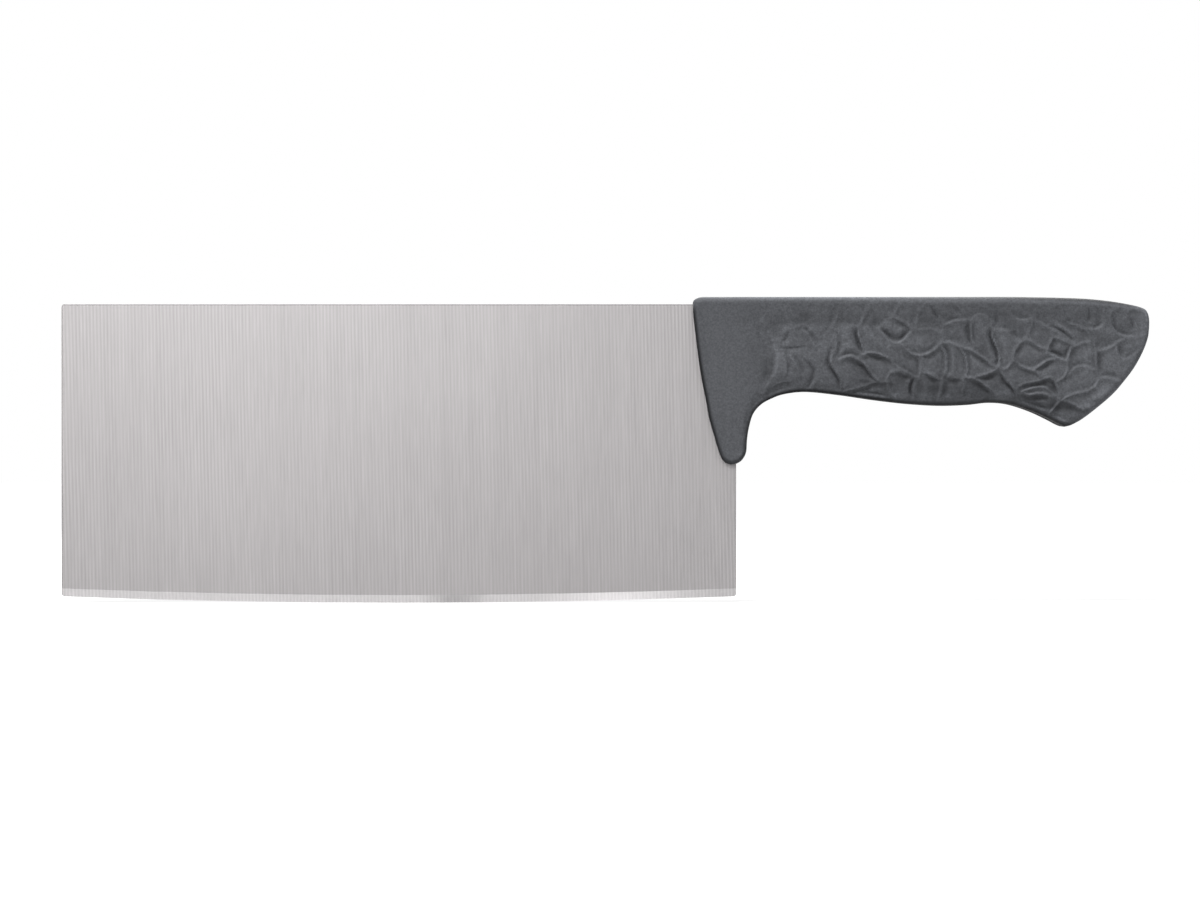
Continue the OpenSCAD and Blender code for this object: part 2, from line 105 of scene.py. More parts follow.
# Lines of the grip's relief, read from the photograph and given in its pixels. Each row has the depth on
# the line, the depth that the surface falls to on the walker's left and on the walker's right, all as
# shares of the full depth, and the line's points in walking order.
# A ridge has depth 0 on the line, and a groove is deepest there.
RELIEF_LINES = (
    # Facets behind the bolster
    (0.35, 0.1, 0.15, ((788, 331), (786.5, 337), (782, 341))),
    (0.3, 0.1, 0.15, ((777, 346), (785, 347.5), (794, 347), (806, 346))),
    (0.0, 0.05, 0.12, ((784, 328), (795, 326.5), (803, 324.5), (810, 320.5), (818, 317.5))),
    (0.0, 0.45, 0.15, ((790, 355), (794, 361), (797, 368), (799, 375))),
    (0.1, 0.15, 0.3, ((763, 393), (770, 387), (778, 382.5), (788, 380.5))),
    # Under the first two fingers
    (0.0, 0.3, 0.7, ((840, 359.5), (846, 356.5), (851, 356), (857, 358.5), (862, 361.5), (866, 366),
                     (870, 371.5), (875, 377.5), (880, 381.5))),
    (0.0, 0.5, 0.45, ((868, 303), (866, 311), (862, 319), (858.5, 327))),
    (0.0, 0.3, 0.5, ((841, 303), (838.5, 311), (835, 319), (832, 327))),
    (0.12, 0.12, 0.1, ((832, 328), (840, 327.5), (847, 325), (853, 323.5), (858, 326))),
    (0.12, 0.12, 0.12, ((861, 328.3), (868, 327.5), (877, 328))),
    (0.0, 0.3, 0.75, ((862, 354), (868, 351.8), (876, 352.5), (884, 355.5), (891, 360))),
    (0.1, 0.4, 0.4, ((889, 358.5), (896, 365), (901, 369), (908, 372.5), (914, 375.5), (919, 377))),
    (0.15, 0.45, 0.3, ((860, 394.5), (868, 395), (876, 396), (884, 397.5))),
    # Diamond and the scoop beside it
    (0.1, 0.3, 0.1, ((878.5, 328), (883, 322.5), (888, 318.5), (892, 316.5))),
    (0.0, 0.15, 0.6, ((892, 316.5), (898, 318.5), (905, 322.5), (912, 328))),
    (0.0, 0.75, 0.1, ((878.5, 328), (883, 333), (888.5, 338.5), (894.5, 342.5))),
    (0.0, 0.1, 0.7, ((912, 328), (909, 332), (905, 337), (900.5, 341), (895, 342.5))),
    (0.0, 0.5, 0.5, ((900, 303), (896, 309), (893, 316.5))),
    (0.0, 0.15, 0.1, ((912, 329.5), (919, 329), (928, 328.5), (936, 329.5), (941, 333))),
    (0.0, 0.4, 0.45, ((903, 345), (907, 349.5), (912, 353), (920, 354.5), (927, 353), (933, 349.5),
                      (938, 345), (941, 341.5))),
    (0.0, 0.1, 0.1, ((892, 343), (898, 343.5), (903, 344.5))),
    (0.0, 0.5, 0.3, ((927, 302), (922, 306), (918, 313), (916, 321), (915, 328))),
    (0.0, 0.3, 0.5, ((938.5, 316), (942, 321), (943, 326), (941.5, 332))),
    (0.0, 0.2, 0.8, ((954.5, 303), (959, 307.5), (963, 312))),
    # Middle of the palm
    (0.0, 0.2, 0.6, ((919, 355), (920, 362), (920, 368), (919.5, 373), (918, 378))),
    (0.0, 0.25, 0.2, ((889, 344), (888, 350), (889, 357))),
    (0.0, 0.45, 0.35, ((891, 371), (887.5, 376), (887, 383), (888.5, 390), (893, 397))),
    (0.0, 0.65, 0.35, ((942, 377.5), (941, 385), (940, 392), (938, 399))),
    (0.0, 0.35, 0.2, ((963, 378.5), (963.5, 384), (963, 390))),
    (0.0, 0.3, 0.2, ((941, 342.5), (948, 341.5), (955, 343.5), (963, 347))),
    (0.0, 0.25, 0.6, ((962, 346.5), (971, 349.5), (978, 353.5), (985, 358.5), (991, 364), (997, 367))),
    (0.0, 0.45, 0.1, ((943, 325), (949, 322), (956, 320), (964, 319.5))),
    (0.0, 0.2, 0.2, ((941, 333), (943, 337), (941, 341))),
    (0.0, 0.25, 0.2, ((984, 328), (986, 338), (989, 348), (993, 358))),
    (0.55, 0.1, 0.15, ((994, 305), (996.5, 312), (996.5, 319), (995, 326))),
    (0.0, 0.4, 0.05, ((970, 320), (977, 314.5), (984, 315), (990, 321), (992, 327))),
    # Round the square facet
    (0.0, 0.25, 0.3, ((999, 366.5), (1004, 368), (1009, 365), (1013, 358))),
    (0.0, 0.35, 0.5, ((1013, 358), (1018, 363.5), (1025, 367), (1032, 369), (1037, 372), (1040, 376))),
    (0.0, 0.65, 0.15, ((1027, 338.5), (1021, 341), (1017, 346), (1014, 352), (1013, 358))),
    (0.0, 0.2, 0.55, ((1027, 338.5), (1032, 341), (1036, 344), (1041, 347), (1046, 349.5))),
    (0.0, 0.3, 0.65, ((1033, 369.5), (1038, 366), (1043, 362.5), (1048, 359.5), (1054, 358.5))),
    (0.0, 0.1, 0.5, ((1053, 336), (1059, 338), (1065, 340.5), (1072, 344))),
    (0.0, 0.7, 0.15, ((1053, 336), (1050, 342), (1047, 349.5))),
    (0.0, 0.8, 0.2, ((1046.5, 351), (1053, 354), (1060, 357.5), (1067, 361))),
    (0.0, 0.5, 0.55, ((1072, 344), (1070, 350), (1068, 356), (1067, 360))),
    (0.0, 0.4, 0.2, ((1067, 360), (1067.5, 367), (1066, 373), (1062, 378), (1057, 380.5))),
    (0.14, 0.35, 0.3, ((1070, 372.5), (1074, 368), (1080, 365.5), (1087, 366), (1092, 369))),
    (0.0, 0.15, 0.3, ((1073, 346), (1079, 343.5), (1086, 341.5), (1092, 341))),
    (0.05, 0.5, 0.3, ((1092, 341), (1095, 346), (1096, 352), (1096.5, 360), (1097, 368), (1099, 377))),
    # Towards the top of the butt
    (0.0, 0.3, 0.15, ((1032, 315), (1031, 323), (1029, 331), (1026, 338))),
    (0.0, 0.35, 0.15, ((1033, 319), (1040, 322), (1047, 326), (1052, 330))),
    (0.0, 0.2, 0.5, ((1064, 318.5), (1068, 322), (1073, 324), (1078, 325))),
    (0.0, 0.3, 0.3, ((1077, 325), (1082, 327), (1086, 329.5), (1089, 335), (1091, 341))),
    (0.7, 0.1, 0.4, ((1089.5, 308), (1089.5, 315), (1089, 322))),
    (0.0, 0.35, 0.05, ((1088, 328), (1095, 328.5), (1101, 326), (1106, 320.5))),
    (0.0, 0.5, 0.1, ((1122, 305.5), (1115, 308.5), (1110.5, 313), (1110, 319), (1112, 326), (1117, 332),
                     (1124, 335.5), (1133, 336))),
    (0.6, 0.1, 0.25, ((1130, 311), (1131.5, 317), (1133, 324), (1134.5, 329))),
    (0.0, 0.45, 0.1, ((1008, 311), (1012, 315), (1018, 319), (1025, 319.5), (1032, 318))),
    (0.0, 0.5, 0.5, ((1060, 304), (1062.5, 311), (1064, 318))),
    (0.0, 0.4, 0.5, ((1103.5, 304), (1104, 312), (1105, 320))),
    (0.35, 0.1, 0.1, ((1012, 330.5), (1016, 335), (1019, 340))),
    (0.0, 0.3, 0.05, ((995, 328), (1002, 329), (1010, 330.5))),
    # Lower butt and hook
    (0.0, 0.5, 0.15, ((1116, 342), (1116.5, 348), (1118, 354), (1120, 360))),
    (0.1, 0.25, 0.1, ((1121, 361), (1127, 358.5), (1133, 355), (1138, 351))),
    (0.0, 0.3, 0.2, ((1096, 350.5), (1102, 349.5), (1108, 347.5), (1114, 344.5), (1119, 340.5),
                     (1126, 337.5))),
    (0.0, 0.4, 0.15, ((1099, 377), (1106, 377), (1112, 378), (1119, 381))),
    (0.0, 0.3, 0.2, ((1099, 378), (1096, 384), (1091, 388.5), (1084, 391), (1076, 392.5),
                     (1068, 395.5), (1062, 399))),
    (0.0, 0.15, 0.5, ((1060, 400), (1064, 400), (1070, 402), (1077, 405.5), (1083, 409))),
    (0.0, 0.5, 0.3, ((1060, 400), (1056, 405), (1052, 410), (1047, 414))),
    (0.0, 0.35, 0.3, ((1050, 415), (1056, 418), (1062, 420.5), (1068, 422))),
    (0.0, 0.15, 0.95, ((1019, 386), (1024, 383), (1031, 381.5), (1039, 380), (1045, 377.5),
                       (1050, 376.5))),
    (0.0, 0.2, 0.65, ((1050, 376.5), (1054, 380), (1056.5, 385.5), (1058.5, 391), (1060, 397))),
    (0.1, 0.5, 0.35, ((1021, 391), (1028, 388.5), (1036, 386.5), (1044, 386.5), (1050, 390),
                      (1054, 395))),
    (0.05, 0.35, 0.9, ((1021, 391.5), (1028, 394), (1036, 392.8), (1044, 393.2), (1050, 396))),
    (0.15, 0.6, 0.35, ((1020, 402), (1030, 405.5), (1038, 408.5), (1046, 411))),
    (0.0, 0.15, 0.7, ((1000, 369), (1003, 374), (1006, 379), (1010, 383), (1014, 389), (1017, 396))),
    (0.0, 0.2, 0.5, ((990, 397), (1000, 398.5), (1010, 398))),
)
# Lines with a narrow, steep fall beside them
STEEP_LINES = (
    (0.0, 0.4, 0.12, ((802, 329.5), (807, 333), (811, 338.5), (815, 346))),
    (0.0, 0.55, 0.1, ((783, 353), (785, 359), (786, 366), (786, 373))),
    (0.5, 0.05, 0.25, ((805, 359), (810, 364.5), (813, 370), (812.5, 377), (810, 383), (807, 389))),
    (0.0, 0.55, 0.1, ((834.5, 334), (836.5, 341), (836, 348), (834, 354))),
    (0.0, 0.1, 0.7, ((833, 350), (830.5, 357), (831, 364), (836, 372), (840, 380), (841, 388))),
    (0.0, 0.5, 0.1, ((839, 358.5), (845, 355.8), (851, 355), (857, 357.5))),
    (0.0, 0.35, 0.95, ((858.5, 327), (858, 333), (860.5, 341), (863, 349), (864.5, 355))),
    (0.8, 0.1, 0.15, ((913, 377), (910.5, 384), (910, 391), (911.5, 397))),
    (1.2, 0.1, 0.1, ((930.5, 306), (934, 312), (938.5, 318.5))),
    (0.0, 0.35, 0.7, ((970.5, 319), (970.5, 330), (971.5, 338), (974.5, 346))),
    (0.0, 0.65, 0.5, ((939, 343), (943, 348.5), (945.5, 354), (946, 361), (946, 368), (944, 375))),
    (0.0, 0.55, 0.5, ((957, 343.5), (961, 348.5), (964.5, 354), (966.5, 361), (967, 368), (966, 376))),
    (0.0, 0.45, 1.0, ((993, 328), (992, 334), (994.5, 342), (998, 350), (999.5, 358), (999, 365))),
    (0.5, 0.1, 0.15, ((1050, 325), (1055, 326.5), (1063, 331), (1070, 337), (1075, 341))),
)
# Lines above the underside, below which the facets stay deep
LONG_LINES = (
    (0.15, 0.2, 0.7, ((842, 391), (850, 389.5), (858, 387.5), (866, 384.5), (873, 382), (880, 381.5),
                      (888, 381))),
    (0.15, 0.3, 0.6, ((896, 369), (902, 372.5), (908, 374.5), (914, 377))),
    (0.12, 0.15, 0.75, ((920, 372.5), (926, 372), (932, 375), (938, 378), (943, 379))),
    (0.2, 0.15, 0.75, ((943, 376), (950, 377), (958, 378), (963, 378.5))),
    (0.0, 0.25, 0.65, ((964, 377), (971, 377), (978, 380), (984, 384), (990, 389), (996, 394))),
    (0.0, 0.15, 0.85, ((976, 376), (984, 374), (992, 371), (997, 368))),
)
# A wide shallow trough behind the bolster, and the low rise behind the trough
BROAD_LINES = (
    (0.35, 0.0, 0.0, ((750, 318), (757, 331), (763, 344), (766.5, 357), (767, 368), (765, 378),
                     (761, 386))),
    (0.05, 0.1, 0.75, ((762, 322), (768, 332), (774, 343), (777.5, 354), (777.5, 365), (773, 376),
                       (766, 387))),
)
# Facets that lie deeper than their neighbours, or stand higher where the share is below 0, read from the
# photograph: the middle's place, the reach in X and in Y and the share of a full scoop
SCOOPS = (
    (755, 350, 9, 20, 0.25), (775, 334, 4, 5, 0.3), (770, 364, 4, 8, 0.3), (778, 356, 6, 12, -0.45),
    (767, 376, 6, 9, 0.55), (770, 329, 6, 5, 0.3), (800, 372, 9, 6, 0.25), (783, 382, 12, 6, 0.4),
    (778, 322, 9, 6, 0.25), (788, 332, 8, 5, -0.5), (812, 329, 7, 5, -0.8), (800, 322, 10, 3, 0.3),
    (808, 339, 5, 5, 0.35), (826, 350, 5, 9, -0.5), (790, 363, 7, 9, -0.35), (800, 354, 12, 7, -0.15),
    (805, 317, 10, 7, 0.35), (835, 311, 6, 7, 0.2), (848, 319, 9, 5, 0.25), (875, 320, 5, 8, 0.35),
    (868, 324, 10, 3, 0.4), (842, 322, 8, 3, 0.4), (846, 331, 10, 9, -0.6), (841, 341, 4, 8, -0.45),
    (848, 347, 7, 3, -0.4), (866, 331, 4, 5, -0.35), (892, 324, 6, 6, -0.4), (886, 330, 5, 4, -0.4),
    (902, 330, 5, 4, -0.3), (893, 338, 8, 4, 0.6), (927, 322, 8, 5, 0.3), (926, 330, 14, 3, 0.35),
    (908, 358, 7, 6, 0.55), (897, 352, 7, 5, 0.35), (885, 362, 8, 5, 0.7), (921, 343, 10, 4, -0.3),
    (925, 364, 8, 6, 0.15), (902, 383, 10, 8, 0.9), (934, 388, 9, 8, 1.1), (919, 387, 5, 8, 0.9),
    (958, 387, 8, 7, 0.75), (973, 387, 7, 5, 0.3), (899, 398, 9, 4, -0.9), (925, 399, 8, 4, -0.8),
    (945, 399, 6, 4, -1.2), (912, 375, 9, 4, 0.75), (943, 377, 6, 4, 0.7), (975, 399, 12, 4, -0.5),
    (930, 341, 9, 5, 0.3), (948, 342, 8, 3, -0.4), (955, 338, 9, 4, 0.45), (953, 328, 8, 4, -0.15),
    (973, 335, 6, 8, 0.45), (979, 323, 6, 8, -0.5), (983, 349, 5, 9, 0.6), (937.5, 360, 3.5, 11, 0.35),
    (957, 360, 4, 11, 0.45), (951, 360, 4, 8, -0.6), (970, 358, 5, 6, -0.4), (976, 362, 5, 4, -0.5),
    (1002, 338, 6, 12, -0.45), (1011, 331, 6, 4, 0.4), (1024, 334, 7, 4, 0.4),
    (1028, 347, 10, 8, -0.55), (1059, 345, 5, 4, -0.6), (1044, 340, 6, 4, 0.35), (1074, 352, 4, 7, 0.3),
    (1083, 336, 8, 5, 0.4), (1066, 321, 8, 4, 0.4), (1061, 326, 9, 4, -0.5), (1028, 321, 12, 4, -0.4),
    (1087, 360, 6, 12, -0.5), (1098, 362, 4, 14, 0.5), (1088, 386, 7, 3, 0.3), (1104, 341, 12, 4, 0.35),
    (1107, 331, 9, 4, -0.35), (1143, 330, 3, 8, -0.4), (1096, 318, 6, 6, 0.3), (1128, 329, 9, 7, 0.45),
    (1129, 352, 6, 5, 0.2), (1138, 309, 7, 6, 1.0), (1107, 356, 7, 9, -0.25), (1116, 371, 9, 6, -0.35),
    (1103, 390, 11, 8, -0.7), (1080, 384, 10, 6, -0.2), (1076, 396, 9, 4, -0.5),
    (1090, 407, 10, 3, -1.4), (1102, 397, 9, 4, -0.9), (1078, 398, 8, 4, 0.4), (1070, 410, 8, 4, 0.7),
    (1051, 403, 8, 5, 0.7), (1055, 409, 6, 3, 0.5), (1062, 406, 8, 5, 0.7), (1062, 419, 8, 4, -0.7),
    (1003, 395, 9, 4, -1.2), (960, 399, 9, 3, -0.5), (982, 383, 8, 4, 0.35), (980, 371, 7, 3, 0.3),
    (1030, 403, 10, 4, -0.8), (996, 382, 7, 4, 0.4), (1030, 377, 11, 3, 0.25), (1040, 382, 11, 4, 0.4),
    (1028, 369, 10, 3, -0.4), (1052, 389, 5, 5, 0.8), (1018, 385, 6, 3, 0.3), (860, 353, 7, 4, 0.2),
    (856, 367, 6, 8, 0.6), (866, 376, 9, 5, 0.5), (868, 382, 12, 3, 0.6), (841, 380, 5, 6, 0.3),
    (870, 389, 8, 4, -0.35), (868, 383, 12, 3, 0.3), (885, 386, 6, 8, 0.5), (929, 376, 6, 4, -0.5),
)
# Breadth of the walls, of the gentle banks and of the falls beside each table's lines, in usual
# wall and fall widths
RELIEF_TABLES = (
    (0.85, 2.5, 1.0, RELIEF_LINES),
    (0.75, 1.5, 0.5, STEEP_LINES),
    (0.85, 2.5, 3.0, LONG_LINES),
    (3.5, 3.5, 1.5, BROAD_LINES),
)
# Depth of the middle of a wide facet, and of a line's ends beside its middle, as shares
FACET_DEPTH = 0.1
LINE_END_SHARE = 0.35
# Steps along a line from one of its points to the next
LINE_STEPS = 4
# How far from a line it still shapes the surface, and the gap up to which its pull stays level
LINE_REACH_PX = 60.0
LINE_BLUNT_PX = 1.5
# Powers in a line's swell from its ends, in its pull over the gap, in its wall's curve and in its
# weight where lines cross
SWELL_POWER = 0.7
PULL_POWER = -1.5
WALL_POWER = 1.8
CROSSING_POWER = 4
# Depth on a line from which it is not rubbed and not painted with a highlight, as a ridge is
GROOVE_SHARE = 0.25
# Shift from a line in the photograph to its crest: light from above brightens the bank over the crest
CREST_SHIFT_PX = (0.3, 0.9)
# Direction in the photograph in which a ridge falls off gently, as a bank, and the cosines of the
# angle to it at which the side of a line starts to be a bank and is one
BANK_DIRECTION = (0.55, 0.84)
BANK_LEAN = (-0.2, 0.8)
# Depth and painted shade of a full scoop, as shares of the relief's depth and of a full painted shading:
# a deep scoop is painted darker, a high one lighter
SCOOP_DEPTH = 0.12
SCOOP_PAINTED_SHADING = 1.1
# Half width of a ridge's top that is painted lighter, as rubbing and as a painted highlight
WORN_PX = 1.2
# Depths inside the outline over which the relief fades in, and the stretch below the top over which
# it grows from a share of its depth to all of it
RIM_FADE = (0.1 * MM, 1.6 * MM)
TOP_FADE_PX = (308.0, 334.0)
TOP_FADE_SHARE = 0.35
# Painted light and shade: how much paler, or darker where below 0, the grip is painted at places along
# the handle: on its rim, over its whole side, in a band above its underside, on its rim along the top
# and in a band under the top
PAINTED_SHADING_PLACES_PX = (690, 712, 735, 760, 790, 880, 905, 1005, 1022, 1066, 1080, 1105, 1160)
PAINTED_SHADINGS = (
    (-1.7, -1.8, -1.0, -1.5, -2.0, -2.0, -2.0, -2.0, -2.0, -2.0, 1.0, 2.0, 2.0),
    (-0.3, 0.0, 0.0, 0.0, 0.0, 0.0, 0.0, 0.0, 0.0, 0.0, 0.05, 0.12, 0.5),
    (-0.2, -0.1, 0.0, 0.0, -0.1, -0.2, 0.0, 0.0, 0.0, 0.0, 0.0, 0.0, 0.0),
    (0.5, 0.6, 1.2, 2.0, 2.0, 1.5, 0.4, -0.9, -1.7, -2.0, -2.0, -1.9, -2.0),
    (-0.05, -0.05, -0.15, -0.3, -0.36, -0.44, -0.54, -0.54, -0.46, -0.4, -0.4, -0.3, -0.2),
)
# Where the top's rim turns into the other rim, where the painted band under the top ends and how deep
# inside the outline it starts, and where the painted band above the underside starts and how far it
# reaches
TOP_EDGE_PX = (302.0, 314.0)
TOP_BAND_PX = (316.0, 340.0)
TOP_BAND_RIM = (0.8 * MM, 2 * MM)
UNDER_BAND_PX = (345.0, 365.0)
UNDER_BAND = 4 * MM
# Painted shading at which the painted light, or the painted shade, stops
PAINTED_SHADING_LIMIT = 2.0
# Rows of points across the rim, as shares of the grip's half thickness, and their heights as shares of
# the seam's
RIM_PLACES = (-0.94, -0.6, -0.08, -0.045, -0.02, 0.02, 0.045, 0.08, 0.6, 0.94)
SEAM_HEIGHTS = (0.0, 0.0, 0.0, 0.0, 1.0, 1.0, 0.0, 0.0, 0.0, 0.0)
# The rim's painted shading as a share of the painted shading on the edge beside it, but for the
# underside, and the downward parts of its direction at which the rim starts to be the underside and is
# it
RIM_PAINTED_SHADING = 0.2
UNDERSIDE_LEAN = (0.2, 0.6)
# Where the relief starts behind the smooth bolster, and how softly
RELIEF_START_PX = ((790, 296), (772, 308), (754, 322), (763, 334), (769, 346), (772, 360),
                   (771, 372), (766, 385), (757, 400), (748, 430), (748, 470))
RELIEF_START_SOFT_PX = 24.0
# How much the mesh's columns and rows crowd towards its ends
COLUMN_CROWDING = 0.25
ROW_CROWDING = 0.35
# Steps in each span of the stations for measuring the way along the grip, and in each span of the
# outline
MEASURE_STEPS = 40
OUTLINE_STEPS = 4
# Depth inside the outline up to which a point is on it
ON_OUTLINE = 0.02 * MM

# Range that a noise seldom leaves
NOISE_RANGE = (0.3, 0.7)
# Scales of the blade's noises along X, Y and Z, per metre: the drift of the grinding lines, the
# patches where they are stronger, and the clouds
DRIFT_SCALES = (25.0, 1.0, 10.0)
PATCH_SCALES = (45.0, 1.0, 30.0)
CLOUD_SCALES = (22.0, 22.0, 18.0)
# Scale of the scratches along Z and of the bands along X, as shares of the scratches' along X, and
# of the bands along Z, per metre
SCRATCH_SHARE = 0.03
BAND_SHARE = 0.09
BAND_SCALE = 3.0
# Drift of the grinding lines, in radians of their wave, and their least and greatest contrast, as
# shares of the setting
LINE_DRIFT = 7.0
LINE_STRENGTHS = (0.5, 1.4)
# How much the finishes vary, as shares either way
SCRATCH_CONTRAST = 0.055
BAND_CONTRAST = 0.03
CLOUD_CONTRAST = 0.025
ROUGHNESS_CONTRAST = 0.04
GRIP_CLOUD_CONTRAST = 0.05
CORE_CONTRAST = 0.1
# Brightness of the painted shade lines along the tip, the spine and the heel, which stand in for the
# darker surroundings mirrored in their rounded edges
TIP_SHADE = 0.6
SPINE_SHADE = 0.6
HEEL_SHADE = 0.75
# Downward parts of the surface's direction at which it starts to be the bevel and is it
BEVEL_LEAN = (0.04, 0.1)
# Half length and brightness of the painted reflection along the bevel: its dull stretch, its bright one
# and its heel end
DULL_REFLECTION_STRETCH = (14 * MM, 0.7)
BRIGHT_REFLECTION_STRETCH = (27 * MM, 1.3)
HEEL_REFLECTION_STRETCH = (22 * MM, 0.8)
# Range of the noise in the grip's grain, its darkest and palest shade, its roughness and its depth
GRAIN_RANGE = (0.35, 0.72)
GRAIN_SHADES = (0.85, 1.28)
GRAIN_ROUGHNESS = (0.62, 0.78)
GRAIN_DEPTH = 0.05 * MM
# How much coarser than the grain the mottle is, the range of its noise, and its darkest and palest
# shade on the smooth bolster and on the facets
MOTTLE_COARSENESS = 2.2
MOTTLE_RANGE = (0.3, 0.72)
BOLSTER_MOTTLE = (0.97, 1.03)
FACET_MOTTLE = (0.85, 1.22)
# Scales of the grip's clouds along X, Y and Z, per metre
GRIP_CLOUD_SCALES = (60.0, 60.0, 60.0)
# Rubbing and painted highlight on the ridges that count as full, and the depths at which the painted
# shade in a hollow starts and is darkest
FULL_WEAR_AND_HIGHLIGHT = 0.8
HOLLOW_SHADE_DEPTHS = (0.1, 0.65)
# Scales of the flow pattern in the core's plastic, per metre, and its roughness
FLOW_SCALES = (120.0, 120.0, 500.0)
CORE_ROUGHNESS = (0.42, 0.55)

# The point that the lamps face, and each lamp's name, place, size and colour
LAMP_TARGET = (0.0, 0.0, 0.05)
LAMPS = (
    ("key", (-0.2, -0.47, 1.0), (0.5, 0.35), (1.0, 1.0, 1.0)),
    ("front", (-0.27, -2.0, 0.46), (0.25, 0.41), (0.99, 1.0, 0.985)),
    ("rear", (0.3, 0.8, 0.8), (0.8, 0.6), (1.0, 1.0, 1.0)),
)
# Half the side of the floor, and its glow: a share of the room's near the object, which grows to all
# of it between two distances from the object's middle
FLOOR_HALF = 6.0
FLOOR_GLOW_REACH = (0.25, 1.2)
FLOOR_GLOW_SHARE = 0.65


class BladeSettings(bpy.types.PropertyGroup):
    """Sizes and finish of the blade."""

    length: FloatProperty(
        name="Length", description="Length of the ground blade from its tip to its heel", unit="LENGTH",
        default=209 * MM, min=0.15, max=0.25,
    )
    steel: FloatVectorProperty(
        name="Steel", description="Colour of the brushed steel", subtype="COLOR",
        default=(0.2355, 0.226, 0.2288), min=0.0, max=1.0,
    )
    # Colour of the ground bevel: paler than the sides, partly the bevel's own finish and partly a
    # painted reflection of the pale floor that it faces
    bevel_steel_and_reflection: FloatVectorProperty(
        name="Bevel steel", description="Colour of the ground bevel", subtype="COLOR",
        default=(0.455, 0.442, 0.446), min=0.0, max=1.0,
    )
    line_pitch: FloatProperty(
        name="Line pitch", description="Distance between the grinding lines", unit="LENGTH",
        default=1.08 * MM, min=0.2 * MM, max=3 * MM,
    )
    line_contrast: FloatProperty(
        name="Line contrast", description="How much the grinding lines differ in shade, as a share",
        default=0.07, min=0.0, max=0.5,
    )
    line_lean: FloatProperty(
        name="Line lean", description="How far the grinding lines lean, as a share of their height",
        default=0.022, min=-0.2, max=0.2,
    )
    line_depth: FloatProperty(
        name="Line depth", description="Depth of the grinding lines", unit="LENGTH",
        default=0.002 * MM, min=0.0, max=0.1 * MM,
    )
    scratch_width: FloatProperty(
        name="Scratch width", description="Usual width of the fine scratches between the lines",
        unit="LENGTH", default=0.35 * MM, min=0.05 * MM, max=2 * MM,
    )
    roughness: FloatProperty(
        name="Roughness", description="Mean roughness of the brushed sides", default=0.34,
        min=0.05, max=0.9,
    )
    # Width of the painted shade lines along the spine, the tip and the heel
    edge_shade_width: FloatProperty(
        name="Edge line", description="Width of the dull line along the spine, the tip and the heel",
        unit="LENGTH", default=0.5 * MM, min=0.0, max=2 * MM,
    )
    # Middles of the dull and the bright stretch of painted reflection along the bevel
    dull_reflection_place: FloatProperty(
        name="Dull place", description="Middle of the bevel's dull stretch, from the tip", unit="LENGTH",
        default=122 * MM, min=0.0, max=0.25,
    )
    bright_reflection_place: FloatProperty(
        name="Bright place", description="Middle of the bevel's brightest stretch, from the tip",
        unit="LENGTH", default=171 * MM, min=0.0, max=0.25,
    )


